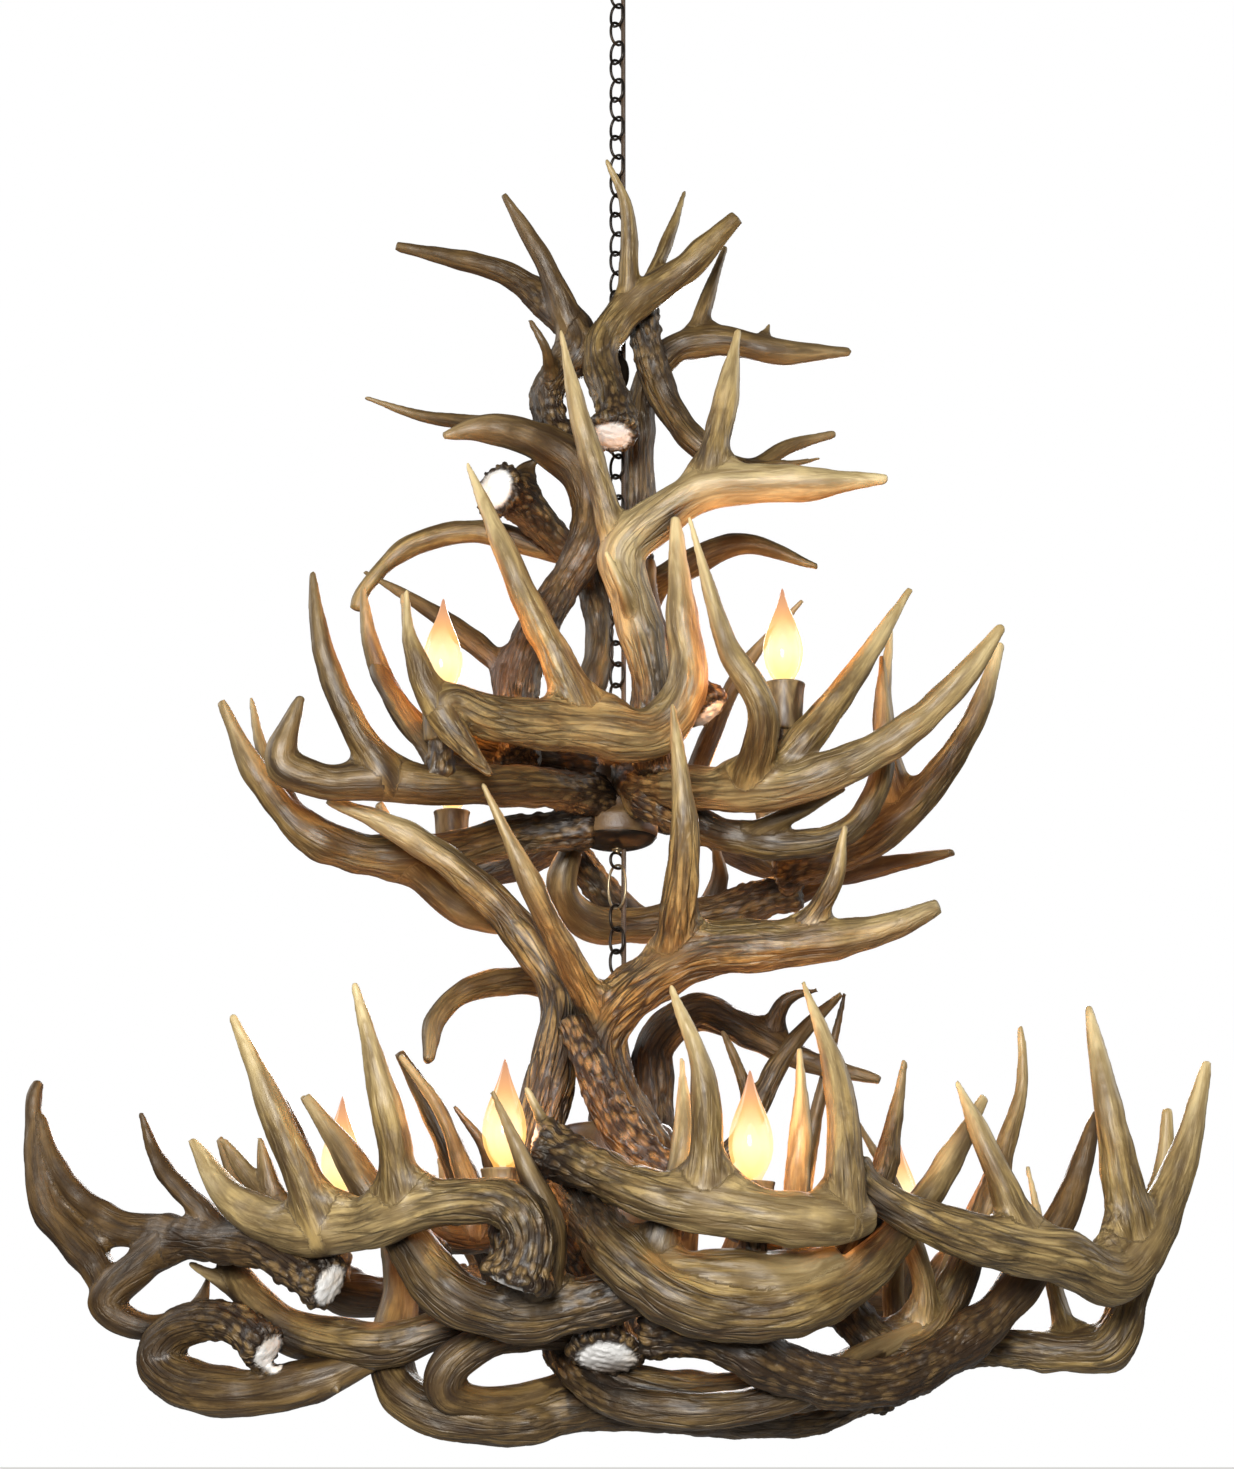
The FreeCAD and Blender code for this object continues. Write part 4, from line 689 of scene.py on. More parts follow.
UPPER_ANTLERS = [
    ("mid_front_right", PLAIN,
     [(10, -20, 60, 19), (60, -105, 30, 19), (130, -155, 20, 19), (175, -165, 30, 16),
      (235, -175, 60, 14), (285, -185, 103, 11), (322, -190, 151, 4)],
     [[(110, -145, 20, 16), (120, -205, 70, 13), (90, -210, 130, 9), (60, -210, 240, 2)],
      [(125, -155, 25, 15), (162, -160, 66, 15), (198, -157, 114, 11), (251, -147, 197, 3)],
      [(25, -50, 55, 9), (15, -40, 25, 6), (-5, -35, 70, 2)]]),
    ("mid_left", PLAIN,
     [(-10, -18, 45, 18), (-75, -100, 35, 18), (-140, -140, 25, 17), (-200, -155, 25, 16),
      (-245, -160, 25, 15), (-277, -165, 38, 15), (-275, -170, 62, 11), (-263, -175, 95, 4)],
     [[(-190, -155, 25, 16), (-223, -168, 75, 12), (-247, -177, 137, 9), (-257, -180, 202, 3)],
      [(-135, -135, 25, 12), (-205, -95, 135, 8), (-225, -65, 210, 2)]]),
    ("mid_far_left", PLAIN,
     [(-20, -14, 18, 18), (-95, -10, 10, 18), (-155, -35, -10, 18), (-220, -55, -15, 19),
      (-275, -70, 5, 15), (-315, -85, 55, 11), (-345, -85, 115, 4)],
     [[(-275, -70, 10, 10), (-310, -50, 75, 7), (-325, -40, 130, 2)],
      [(-188, -45, -15, 17), (-150, -30, -48, 15), (-115, -15, -66, 12), (-82, 0, -72, 5)]]),
    ("mid_back_right", PLAIN,
     [(18, 12, 45, 17), (75, 105, 45, 16), (125, 175, 30, 14), (175, 200, 20, 13), (235, 190, 20, 11),
      (280, 170, 25, 7), (320, 150, 30, 4)],
     [[(55, 70, 45, 11), (115, 85, 185, 8), (175, 70, 255, 2)]]),
    ("mid_back_left", PLAIN,
     [(-10, 14, 42, 17), (-55, 65, 20, 17), (-105, 145, 15, 15), (-165, 200, 20, 13),
      (-210, 200, 45, 10), (-230, 180, 85, 5)],
     []),
    ("mid_right", BURR,
     [(145, 40, -10, 20), (195, 25, 0, 18), (240, 5, 20, 17), (281, -10, 58, 14), (320, -20, 117, 10),
      (345, -25, 185, 4)],
     [[(255, 0, 30, 14), (240, 0, 120, 10), (250, 5, 210, 2)]]),
    ("mid_under_hub", PLAIN,
     [(165, 55, -25, 18), (75, 80, -45, 17), (20, 75, -55, 17), (-25, 60, -55, 16), (-50, 40, -30, 14),
      (-40, 30, 10, 10)],
     []),
    ("mid_front_left", PLAIN,
     [(-103, -188, 22, 3), (-126, -192, 47, 9), (-146, -192, 76, 14), (-136, -188, 86, 16), (-112, -178, 77, 18),
      (-85, -165, 73, 20), (-25, -140, 75, 22), (30, -125, 75, 22), (60, -125, 115, 18), (55, -135, 180, 13),
      (50, -140, 265, 4)],
     [[(-146, -192, 76, 14), (-158, -194, 98, 12), (-166, -196, 121, 9), (-173, -196, 142, 6), (-176, -196, 180, 2)],
      [(-25, -140, 75, 17), (-85, -165, 200, 12), (-130, -150, 310, 2)]]),
    ("crown_front", PLAIN,
     [(35, -80, 50, 19), (30, -95, 130, 18), (15, -105, 195, 19), (5, -110, 240, 21),
      (40, -120, 275, 20), (85, -130, 295, 18), (160, -140, 295, 15), (235, -150, 295, 4)],
     [[(5, -110, 235, 15), (-30, -125, 350, 10), (-50, -135, 440, 2)],
      [(78, -130, 295, 15), (95, -135, 375, 11), (107, -135, 441, 3)],
      [(20, -100, 165, 7), (5, -130, 200, 5), (-10, -135, 235, 2)]]),
    ("crown_arcs", PLAIN,
     [(25, 30, 85, 17), (30, 55, 155, 17), (25, 65, 225, 16), (-10, 55, 285, 14), (-65, 40, 295, 12),
      (-130, 35, 310, 11), (-190, 30, 295, 10), (-230, 25, 255, 8), (-240, 25, 230, 7)],
     [[(15, 60, 255, 13), (110, 50, 302, 11), (188, 40, 277, 3)]]),
    ("crown_mid", BURR,
     [(-110, -40, 325, 21), (-85, -10, 320, 18), (-55, 15, 295, 14), (-25, 30, 260, 13),
      (-15, 25, 200, 13), (-25, 20, 145, 13), (-30, 20, 88, 13)],
     [[(-90, -15, 320, 8), (-90, -15, 350, 6), (-65, -20, 365, 2)]]),
    ("crown_left_s", PLAIN,
     [(-85, -80, 60, 20), (-90, -50, 120, 20), (-80, -45, 170, 19), (-50, -40, 230, 17),
      (-25, -40, 285, 17), (-32, -35, 342, 19), (-76, -27, 378, 18), (-120, -20, 391, 12),
      (-160, -30, 380, 4)],
     [[(-85, -25, 390, 8), (-175, 0, 410, 6), (-235, 0, 430, 2)],
      [(-85, -45, 145, 12), (-170, 10, 225, 8), (-235, 30, 270, 2)]]),
    ("crown_left", BURR,
     [(-52, -12, 378, 16), (-65, -10, 430, 15), (-32, -24, 472, 17), (-60, -10, 515, 16),
      (-100, -5, 550, 12), (-155, 0, 570, 9), (-210, 5, 585, 5)],
     [[(-35, -20, 470, 14), (-68, -38, 549, 10), (-106, -50, 612, 3)],
      [(-60, -15, 440, 7), (-65, -55, 455, 5), (-80, -65, 480, 2)]]),
    ("crown_right", BURR,
     [(-5, -70, 365, 19), (-5, -55, 405, 17), (-15, -35, 460, 16), (10, -30, 505, 15),
      (64, -32, 547, 14), (113, -45, 592, 9)],
     [[(10, -30, 500, 10), (10, -50, 590, 7), (-10, -65, 640, 2)],
      [(25, -30, 515, 8), (50, -10, 590, 6), (65, 10, 645, 2)]]),
    ("crown_back", BURR,
     [(15, 42, 265, 15), (20, 30, 340, 15), (20, 20, 395, 14), (25, 20, 445, 13), (50, 20, 485, 14),
      (95, 20, 495, 15), (155, 25, 486, 12), (222, 30, 488, 4)],
     [[(72, 20, 493, 9), (84, 22, 535, 7), (104, 30, 597, 3)],
      [(135, 25, 490, 6), (145, 25, 515, 2)]]),
    ("crown_right_s", PLAIN,
     [(22, -6, 530, 13), (30, -3, 475, 14), (48, -2, 420, 14), (80, -10, 375, 12), (120, 0, 360, 9),
      (160, 10, 385, 7), (205, 15, 400, 4)],
     [[(110, 0, 360, 6), (160, -25, 355, 4), (185, -40, 355, 2)]]),
]

LOWER_ANTLERS = [
    ("ring_centre_front", BURR,
     [(-8, -224, -36, 24), (-6, -205, -8, 22), (0, -150, 2, 21), (0, -85, 5, 20), (0, -40, 20, 19)],
     []),
    ("ring_back_left", PLAIN,
     [(-15, 25, 25, 18), (-100, 30, 20, 18), (-170, 45, 20, 18), (-240, 20, 25, 17),
      (-295, 60, 65, 13), (-335, 90, 115, 8), (-360, 105, 165, 4)],
     [[(-270, 35, 45, 10), (-315, 100, 120, 7), (-325, 110, 165, 2)],
      [(-230, 20, 20, 12), (-275, 40, 90, 8), (-290, 55, 155, 2)]]),
    ("ring_back_right", PLAIN,
     [(20, 30, 25, 18), (70, 45, 20, 18), (145, 110, 20, 18), (250, 150, 15, 16), (305, 160, 60, 12),
      (335, 145, 120, 7), (360, 135, 185, 4)],
     [[(190, 130, 15, 14), (165, 85, 110, 10), (205, 55, 290, 2)],
      [(250, 150, 15, 12), (260, 95, 90, 8), (205, 60, 190, 2)]]),
    ("ring_back_spoke", PLAIN,
     [(0, 40, 25, 18), (0, 190, 15, 17), (-5, 250, 5, 16), (-10, 265, 5, 16), (-5, 335, 30, 15),
      (0, 365, 100, 11), (5, 375, 170, 4)],
     []),
    ("ring_inner_left", PLAIN,
     [(-25, -30, 20, 18), (-80, -30, 15, 18), (-110, -45, 65, 17), (-135, -65, 125, 13),
      (-155, -70, 170, 10), (-185, -70, 220, 5)],
     [[(-105, -40, 50, 10), (-105, -90, 125, 7), (-135, -105, 170, 2)]]),
    ("stem_left", PLAIN,
     [(-30, -40, 45, 19), (-60, -95, 85, 19), (-70, -125, 125, 19), (-60, -130, 170, 19),
      (-50, -120, 215, 18), (-50, -110, 265, 17), (-80, -105, 315, 16), (-125, -110, 360, 14),
      (-185, -120, 400, 11), (-245, -130, 425, 4)],
     []),
    ("stem_front", PLAIN,
     [(40, -55, 95, 19), (20, -90, 145, 20), (-5, -110, 190, 20), (-10, -120, 230, 21),
      (25, -140, 268, 22), (75, -160, 290, 22), (150, -180, 293, 18), (215, -185, 303, 13),
      (262, -190, 322, 6)],
     [[(-10, -120, 230, 15), (-65, -190, 330, 10), (-110, -210, 420, 2)],
      [(45, -150, 280, 17), (55, -210, 380, 12), (45, -220, 485, 2)],
      [(150, -180, 300, 12), (175, -200, 340, 8), (185, -210, 385, 2)],
      [(-5, -110, 195, 8), (-40, -135, 240, 2)]]),
    ("stem_back", PLAIN,
     [(38, 35, 110, 19), (33, 45, 175, 18), (32, 50, 235, 18), (70, 55, 270, 17), (115, 55, 255, 15),
      (165, 55, 230, 11), (235, 50, 210, 4)],
     [[(135, 55, 245, 9), (150, 45, 280, 6), (180, 40, 290, 2)]]),
    ("stem_arc", PLAIN,
     [(-15, 30, 105, 15), (-10, 50, 175, 15), (-10, 45, 230, 15), (-25, 20, 270, 15),
      (-75, -5, 290, 13), (-125, -30, 280, 11), (-155, -50, 250, 9), (-160, -70, 210, 5)],
     []),
    ("ring_low_left", BURR,
     [(30, -245, 20, 19), (-15, -260, 5, 20), (-75, -250, -5, 21), (-125, -260, 10, 20),
      (-165, -245, 55, 17), (-205, -230, 110, 12), (-245, -220, 165, 4)],
     [[(-60, -250, -5, 14), (-50, -290, 55, 11), (-70, -300, 105, 8), (-95, -295, 160, 2)]]),
    ("ring_low_front", PLAIN,
     [(-40, -240, 95, 17), (-5, -280, 45, 21), (45, -295, 5, 23), (105, -290, -5, 23),
      (170, -275, 15, 20), (220, -250, 60, 14), (260, -230, 115, 10), (290, -215, 165, 4)],
     [[(140, -285, 0, 14), (140, -225, 85, 11), (145, -215, 145, 8), (145, -205, 205, 2)],
      [(25, -290, 20, 14), (50, -280, 115, 10), (50, -265, 190, 2)],
      [(20, -290, 30, 14), (75, -290, 22, 20), (125, -284, 20, 20), (168, -272, 34, 14)]]),
    ("ring_rough", BURR,
     [(25, -225, -10, 20), (85, -245, -25, 20), (140, -235, -50, 19), (200, -215, -55, 18),
      (260, -180, -30, 18), (310, -160, 10, 17), (360, -140, 80, 13), (395, -130, 165, 4)],
     []),
    ("ring_under_front", BURR,
     [(-50, -145, -5, 17), (-30, -170, -40, 19), (20, -185, -61, 20), (80, -180, -65, 20),
      (145, -160, -57, 19), (205, -125, -40, 18), (255, -80, -5, 12), (280, -50, 55, 4)],
     [[(230, -105, -30, 11), (225, -105, 20, 8), (235, -110, 60, 2)]]),
    ("ring_front_left", BURR,
     [(-75, -305, 15, 21), (-65, -310, 50, 19), (-85, -305, 75, 18), (-135, -290, 75, 17),
      (-195, -265, 60, 19), (-250, -235, 60, 19), (-300, -205, 85, 14), (-340, -180, 135, 4)],
     [[(-222, -255, 55, 16), (-262, -272, 145, 12), (-298, -270, 222, 3)],
      [(-160, -280, 70, 16), (-175, -302, 150, 12), (-201, -300, 242, 3)]]),
    ("ring_front_right", BURR,
     [(-55, -270, 120, 17), (-10, -300, 95, 18), (45, -315, 75, 20), (105, -320, 65, 21),
      (160, -310, 60, 17), (190, -290, 65, 12)],
     [[(65, -320, 70, 15), (65, -335, 160, 10), (40, -330, 235, 2)],
      [(170, -305, 60, 16), (170, -285, 160, 11), (145, -255, 250, 2)],
      [(-45, -275, 115, 8), (-70, -275, 165, 2)]]),
    ("ring_right", BURR,
     [(175, -275, 100, 13), (220, -270, 70, 15), (280, -255, 50, 19), (340, -230, 40, 21),
      (388, -200, 27, 22), (425, -185, 66, 18), (453, -175, 125, 12), (478, -165, 200, 4)],
     [[(320, -240, 40, 14), (285, -250, 120, 10), (265, -235, 175, 2)],
      [(408, -190, 45, 18), (390, -208, 140, 13), (378, -195, 240, 3)]]),
    ("ring_low_right", PLAIN,
     [(255, -65, -25, 17), (310, -95, -25, 15), (365, -110, -30, 16), (400, -115, -20, 18),
      (426, -105, 45, 15), (452, -95, 120, 8), (458, -95, 170, 4)],
     [[(370, -110, -35, 12), (360, -85, 20, 8), (345, -60, 125, 2)]]),
    ("ring_far_left", BURR,
     [(-220, -240, 18, 17), (-275, -207, 48, 17), (-320, -165, 55, 17), (-370, -115, 65, 16), (-400, -104, 70, 12),
      (-432, -95, 86, 10.5), (-456, -88, 108, 9), (-474, -80, 137, 7.5), (-483, -75, 165, 5)],
     [[(-413, -118, 22, 13), (-424, -110, 40, 15), (-446, -98, 60, 15), (-469, -88, 86, 14), (-482, -80, 120, 11.5),
       (-488, -74, 151, 9), (-491, -70, 180, 7), (-488, -68, 196, 4)],
      [(-290, -195, 45, 11), (-370, -115, 115, 8), (-395, -105, 165, 2)],
      [(-360, -125, 60, 15), (-413, -120, 13, 15), (-380, -115, -10, 10), (-345, -95, 5, 8),
       (-335, -85, 35, 2)]]),
    ("ring_under_back", BURR,
     [(220, -70, -55, 15), (145, -105, -78, 17), (65, -135, -77, 17), (-15, -160, -73, 17),
      (-90, -180, -83, 18), (-152, -180, -71, 18), (-178, -160, -42, 17), (-175, -130, 14, 15),
      (-190, -95, 125, 5)],
     []),
    ("ring_loop", BURR,
     [(-272, -185, -30, 15), (-306, -165, -6, 15), (-348, -142, -10, 17), (-366, -130, -33, 18),
      (-345, -140, -54, 19), (-293, -160, -61, 19), (-238, -175, -52, 17), (-185, -175, -33, 10)],
     [[(-230, -175, -48, 8), (-215, -190, -62, 2)]]),
    ("ring_back_arc", PLAIN,
     [(-175, 190, 45, 17), (-110, 245, 35, 19), (-25, 275, 35, 20), (60, 275, 35, 19),
      (135, 245, 50, 14), (190, 220, 95, 5)],
     [[(-110, 245, 35, 12), (-155, 225, 105, 8), (-170, 230, 160, 2)],
      [(100, 260, 40, 12), (125, 275, 125, 8), (120, 280, 185, 2)]]),
]

# Antlers added inside the two tiers, cut to all the others.
UPPER_INNER = [
    ("crown_right_burr", BURR,
     [(80, -95, 100, 17), (60, -90, 125, 16), (40, -80, 155, 13), (30, -75, 200, 9), (30, -70, 250, 4)],
     []),
    ("mid_inner_right", PLAIN,
     [(20, -60, 31, 16), (63, -80, 7, 15), (101, -95, -10, 14), (147, -105, -18, 13),
      (194, -110, -8, 12), (223, -110, 33, 10), (229, -108, 91, 8), (229, -105, 150, 2.2)],
     [[(101, -95, -10, 10), (146, -120, 4, 8), (193, -130, 26, 3)]]),
    ("mid_inner_left", PLAIN,
     [(-24, -40, 63, 15), (-76, -60, 65, 15), (-128, -75, 74, 15), (-166, -85, 83, 13),
      (-197, -90, 122, 10), (-215, -92, 167, 8), (-223, -95, 216, 2.2)],
     [[(-141, -78, 76, 10), (-169, -60, 131, 8), (-184, -55, 178, 5), (-192, -50, 224, 2.2)]]),
    ("mid_lower_back", PLAIN,
     [(-52, 60, 26, 16), (-6, 90, -28, 14), (40, 110, -53, 13), (96, 120, -41, 13),
      (162, 130, -16, 12), (228, 130, 10, 9), (313, 130, 25, 2.8)],
     [[(77, 115, -47, 10), (95, 100, -7, 8), (91, 90, 24, 3.7)]]),
]

LOWER_INNER = [
    ("ring_belly_left", BURR,
     [(-45, -150, 10, 14), (-92, -175, -4, 16), (-138, -190, -14, 16), (-185, -185, -25, 17),
      (-242, -170, -17, 17), (-289, -150, 10, 14), (-317, -130, 51, 9), (-340, -120, 96, 3.3)],
     [[(-214, -165, -30, 12), (-263, -158, -19, 11), (-297, -145, 13, 9), (-346, -130, 41, 2.4)]]),
    ("ring_belly_centre", PLAIN,
     [(59, -110, -12, 12), (18, -150, -7, 14), (-45, -185, -14, 16), (-91, -205, -20, 15),
      (-125, -210, -39, 15), (-132, -205, -61, 15), (-98, -190, -70, 13), (-56, -170, -61, 12),
      (-25, -150, -42, 7)],
     []),
    ("ring_belly_right", PLAIN,
     [(-45, -160, -21, 13), (-29, -190, -50, 14), (6, -215, -69, 14), (59, -225, -76, 14),
      (113, -220, -69, 14), (160, -205, -52, 12), (205, -185, -29, 10), (247, -170, -6, 6)],
     []),
    ("ring_bowl_right", PLAIN,
     [(169, -160, 18, 14), (207, -170, -25, 17), (243, -165, -19, 17), (270, -150, 22, 15),
      (298, -135, 78, 12), (317, -125, 132, 9), (334, -120, 185, 6), (335, -118, 235, 2.1)],
     [[(239, -165, -21, 13), (243, -175, 21, 10), (227, -185, 67, 8), (208, -190, 113, 3.2)]]),
    ("ring_left_fork", PLAIN,
     [(-136, -236, 38, 14), (-171, -185, 62, 13), (-216, -175, 75, 13), (-253, -165, 68, 14),
      (-279, -155, 89, 11), (-302, -150, 115, 8), (-320, -150, 139, 2.4)],
     [[(-228, -170, 73, 11), (-256, -150, 129, 9), (-275, -140, 171, 6)],
      [(-274, -158, 85, 9), (-282, -160, 116, 6), (-288, -160, 139, 2)]]),
    ("ring_grey_tine", PLAIN,
     [(-64, -100, 72, 13), (-131, -130, 60, 13), (-171, -140, 80, 12), (-200, -145, 106, 11),
      (-228, -150, 139, 8), (-256, -150, 173, 2.8)],
     [[(-116, -130, 66, 11), (-124, -115, 108, 9), (-146, -105, 165, 6), (-182, -95, 214, 3)]]),
    ("stem_diagonal", PLAIN,
     [(20, 60, 28, 15), (64, 55, 110, 12), (109, 50, 157, 11), (129, 50, 197, 11),
      (148, 50, 231, 9), (174, 50, 262, 7), (202, 50, 288, 2.7)],
     [[(122, 50, 184, 8), (105, 40, 227, 5), (93, 35, 253, 2.2)]]),
    ("stem_rough", PLAIN,
     [(-37, -140, 235, 12), (-22, -152, 198, 13), (-4, -162, 156, 15), (22, -172, 123, 15),
      (58, -182, 95, 14), (97, -195, 66, 13), (135, -205, 50, 10), (170, -210, 46, 3.1)],
     []),
    ("ring_front_burr", BURR,
     [(146, -255, 12, 17), (167, -250, 35, 17), (185, -245, 61, 14), (204, -235, 98, 10),
      (217, -225, 145, 7), (227, -220, 193, 2)],
     []),
]

# Lamps: name, x, y, where the glass starts, and the top of the antler below, both above the hub's bottom.
UPPER_LAMPS = [
    ("front_left", -148, -150, 102, 41),
    ("front_right", 141, -150, 111, 36),
    ("back_left", -160, 200, 80, 33),
    ("back_right", 152, 200, 80, 37),
]
LOWER_LAMPS = [
    ("front_left", -87, -250, 105, 20),
    ("front_right", 102, -275, 93, 10),
    ("side_left", -240, 15, 107, 42),
    ("side_right", 259, 150, 85, 33),
    ("rear_left", -62, 272, 105, 52),
    ("rear_right", 62, 272, 105, 53),
]
print("lines for", len(UPPER_ANTLERS), "and", len(LOWER_ANTLERS), "antlers")

# %% [markdown]
# The front antlers are the lightest, because they are the showpieces, and those that hold the tiers
# together are dark. Some old antlers are rough and pearled far up the beam, and a rough value below
# 0 leaves an antler smooth right down to its butt. A pale value above 0 lightens an antler well
# before its tips, and one below 0 keeps its tips brown. Each antler gets painted shade where others
# of its tier come close.

# %% Growing both tiers
UPPER_HUB_BOTTOM = -914.8
LOWER_HUB_TOP = -1158.8
LOWER_HUB_HEIGHT = 165.0
UPPER_DATUM = UPPER_HUB_BOTTOM * MM
LOWER_DATUM = (LOWER_HUB_TOP - LOWER_HUB_HEIGHT) * MM
DARK = {"mid_far_left": 0.45, "crown_left_s": 0.75, "crown_left": 0.8, "crown_mid": 0.7, "crown_back": 0.55,
        "mid_under_hub": 0.5, "stem_back": 0.75, "ring_rough": 0.85, "ring_inner_left": 0.9, "stem_arc": 0.5,
        "ring_back_left": 0.8, "ring_back_right": 0.75, "ring_back_spoke": 0.8, "ring_back_arc": 0.6,
        "ring_under_back": 0.55, "ring_under_front": 0.6, "crown_right_burr": 0.7, "ring_centre_front": 0.6,
        "mid_back_right": 0.6, "mid_back_left": 0.6, "ring_loop": 0.7, "crown_right_s": 0.6, "ring_low_left": 0.55,
        "stem_rough": 0.9, "stem_diagonal": 0.6, "ring_belly_centre": 0.7, "ring_belly_right": 0.5,
        "ring_belly_left": 0.4, "ring_left_fork": 0.6, "ring_front_burr": 0.5, "mid_inner_left": 0.5,
        "mid_inner_right": 0.4, "mid_lower_back": 0.7, "ring_grey_tine": 0.35, "ring_far_left": 0.85,
        "mid_left": 0.6}
USUAL_DARK = 0.03
ROUGH = {"ring_rough": 0.55, "crown_left": 0.45, "crown_left_s": 0.35, "crown_mid": 0.5, "ring_under_back": 0.3,
         "stem_rough": 1.0, "ring_front_burr": 0.5, "ring_belly_centre": 0.3, "mid_front_left": -1.0,
         "ring_right": -1.0}
PALE = {"crown_front": 0.5, "mid_front_right": 0.2, "ring_front_left": 0.2, "ring_front_right": 0.2,
        "mid_front_left": 0.12, "ring_right": 0.12, "mid_left": -0.7, "ring_far_left": -0.8, "crown_arcs": -0.8,
        "crown_left": -0.5, "crown_mid": -0.6, "stem_arc": -0.6, "crown_right": -0.7, "crown_right_s": -0.5,
        "stem_front": -0.5, "ring_rough": -0.7, "stem_back": -0.5, "crown_back": -0.4}
STEM_GRAIN = 0.95
USUAL_GRAIN = 0.5
# Samples of other antlers within this reach can put painted shade on an antler.
NEIGHBOUR_REACH = 45 * MM
antlers = 0
faces = 0
for body, datum, rows, inner, shared_node in (
        ("upper_section", UPPER_DATUM, UPPER_ANTLERS, UPPER_INNER, "antlers_upper_inner"),
        ("lower_section", LOWER_DATUM, LOWER_ANTLERS, LOWER_INNER, "antlers_lower_inner")):
    drawn = [antler_lines(beam, tines, burr, datum) for _, burr, beam, tines in rows + inner]
    for index, (name, burr, _, _) in enumerate(rows + inner):
        lines, runs = drawn[index]
        own = np.vstack(lines)
        others = np.vstack([row for k, (group, _) in enumerate(drawn) if k != index for row in group])
        near = ((others[:, :3] > own[:, :3].min(0) - NEIGHBOUR_REACH)
                & (others[:, :3] < own[:, :3].max(0) + NEIGHBOUR_REACH)).all(1)
        looks = (DARK.get(name, USUAL_DARK), ROUGH.get(name, 0.0),
                 STEM_GRAIN if name.startswith("stem") else USUAL_GRAIN, PALE.get(name, 0.0))
        node = "antler_" + name if index < len(rows) else shared_node
        faces += grow_antler("antler_" + name, node, body, lines, runs, burr, looks, 100 * len(rows) + 7 * index,
                             others[near])
        antlers += 1
print("antlers:", antlers, "with", faces, "faces")

# %% [markdown]
# ## Metalwork finishes
# The chain, canopy and eyes are oil-rubbed bronze: nearly black, with brown showing where hands and
# links rub. The drop ring is aged brass wire. The hubs are turned and stained to go with the antler,
# so their finish has the same patina without the metal.

# %% Bronze, brass and stained hub materials


def worn_finish(name, dark, worn, scale, wear, metallic, bump_height):
    """A finish with the shared patina, from its dark colour to its worn one."""
    material, tree, shader = new_material(name)
    finish = use_group(tree, patina, Dark=dark, Worn=worn, Scale=scale, Wear=wear)
    fill(tree, shader, Base_Color=finish.outputs["Color"], Roughness=finish.outputs["Roughness"],
         Normal=bump(tree, finish.outputs["Height"], 0.35, bump_height), Metallic=metallic)
    return material


bronze = worn_finish("oil_rubbed_bronze", (0.030, 0.024, 0.019, 1), (0.170, 0.105, 0.055, 1), 70.0, 0.40, 0.85, 0.0004)
aged_brass = worn_finish("aged_brass", (0.300, 0.235, 0.140, 1), (0.560, 0.470, 0.310, 1), 160.0, 0.48, 0.9, 0.0003)
stained_hub = worn_finish("stained_hub", (0.070, 0.036, 0.013, 1), (0.290, 0.190, 0.080, 1), 30.0, 0.56, 0.0, 0.0010)
shell_brass = worn_finish("screw_shell_brass", (0.420, 0.320, 0.150, 1), (0.650, 0.530, 0.300, 1), 240.0, 0.45, 1.0,
                          0.0002)
print("materials", len(bpy.data.materials))

# %% [markdown]
# Round parts are turned: half an outline is spun about the vertical, as on a lathe. Links and eyes
# are bent wire, so each is a closed curve with a round bevel.

# %% Lathe and bent wire
SHARP_ANGLE = math.radians(38)
OVAL_POWER = 0.9


def turned(name, outline, centre=(0.0, 0.0, 0.0), segments=48):
    """A solid of revolution from an outline of (radius, height) in millimetres."""
    bm = bmesh.new()
    points = [bm.verts.new((radius * MM, 0.0, height * MM)) for radius, height in outline]
    sides = [bm.edges.new(pair) for pair in zip(points, points[1:])]
    bmesh.ops.spin(bm, geom=points + sides, cent=(0, 0, 0), axis=(0, 0, 1), dvec=(0, 0, 0),
                   angle=2 * math.pi, steps=segments, use_merge=True, use_duplicate=False)
    bmesh.ops.remove_doubles(bm, verts=bm.verts, dist=1e-6)
    bmesh.ops.dissolve_degenerate(bm, dist=1e-7, edges=bm.edges)
    bmesh.ops.recalc_face_normals(bm, faces=bm.faces)
    bmesh.ops.translate(bm, verts=bm.verts, vec=Vector(centre))
    mesh = bpy.data.meshes.new(name)
    bm.to_mesh(mesh)
    bm.free()
    mesh.shade_smooth()
    mesh.set_sharp_from_angle(angle=SHARP_ANGLE)
    return add(name, mesh)


def rounded(outline, rounds=2):
    """Cuts the corners of an outline, so that its turned surface is soft. The ends stay."""
    for _ in range(rounds):
        softer = [outline[0]]
        for (r0, z0), (r1, z1) in zip(outline, outline[1:]):
            softer += [(0.75 * r0 + 0.25 * r1, 0.75 * z0 + 0.25 * z1), (0.25 * r0 + 0.75 * r1, 0.25 * z0 + 0.75 * z1)]
        outline = softer + [outline[-1]]
    return outline


def profile(zero, soft, before=(), after=(), rounds=2):
    """An outline above the height zero: a rounded stretch, with sharp points before and after it."""
    before, soft, after = ([(radius, zero + height) for radius, height in part] for part in (before, soft, after))
    return before + rounded(soft, rounds) + after


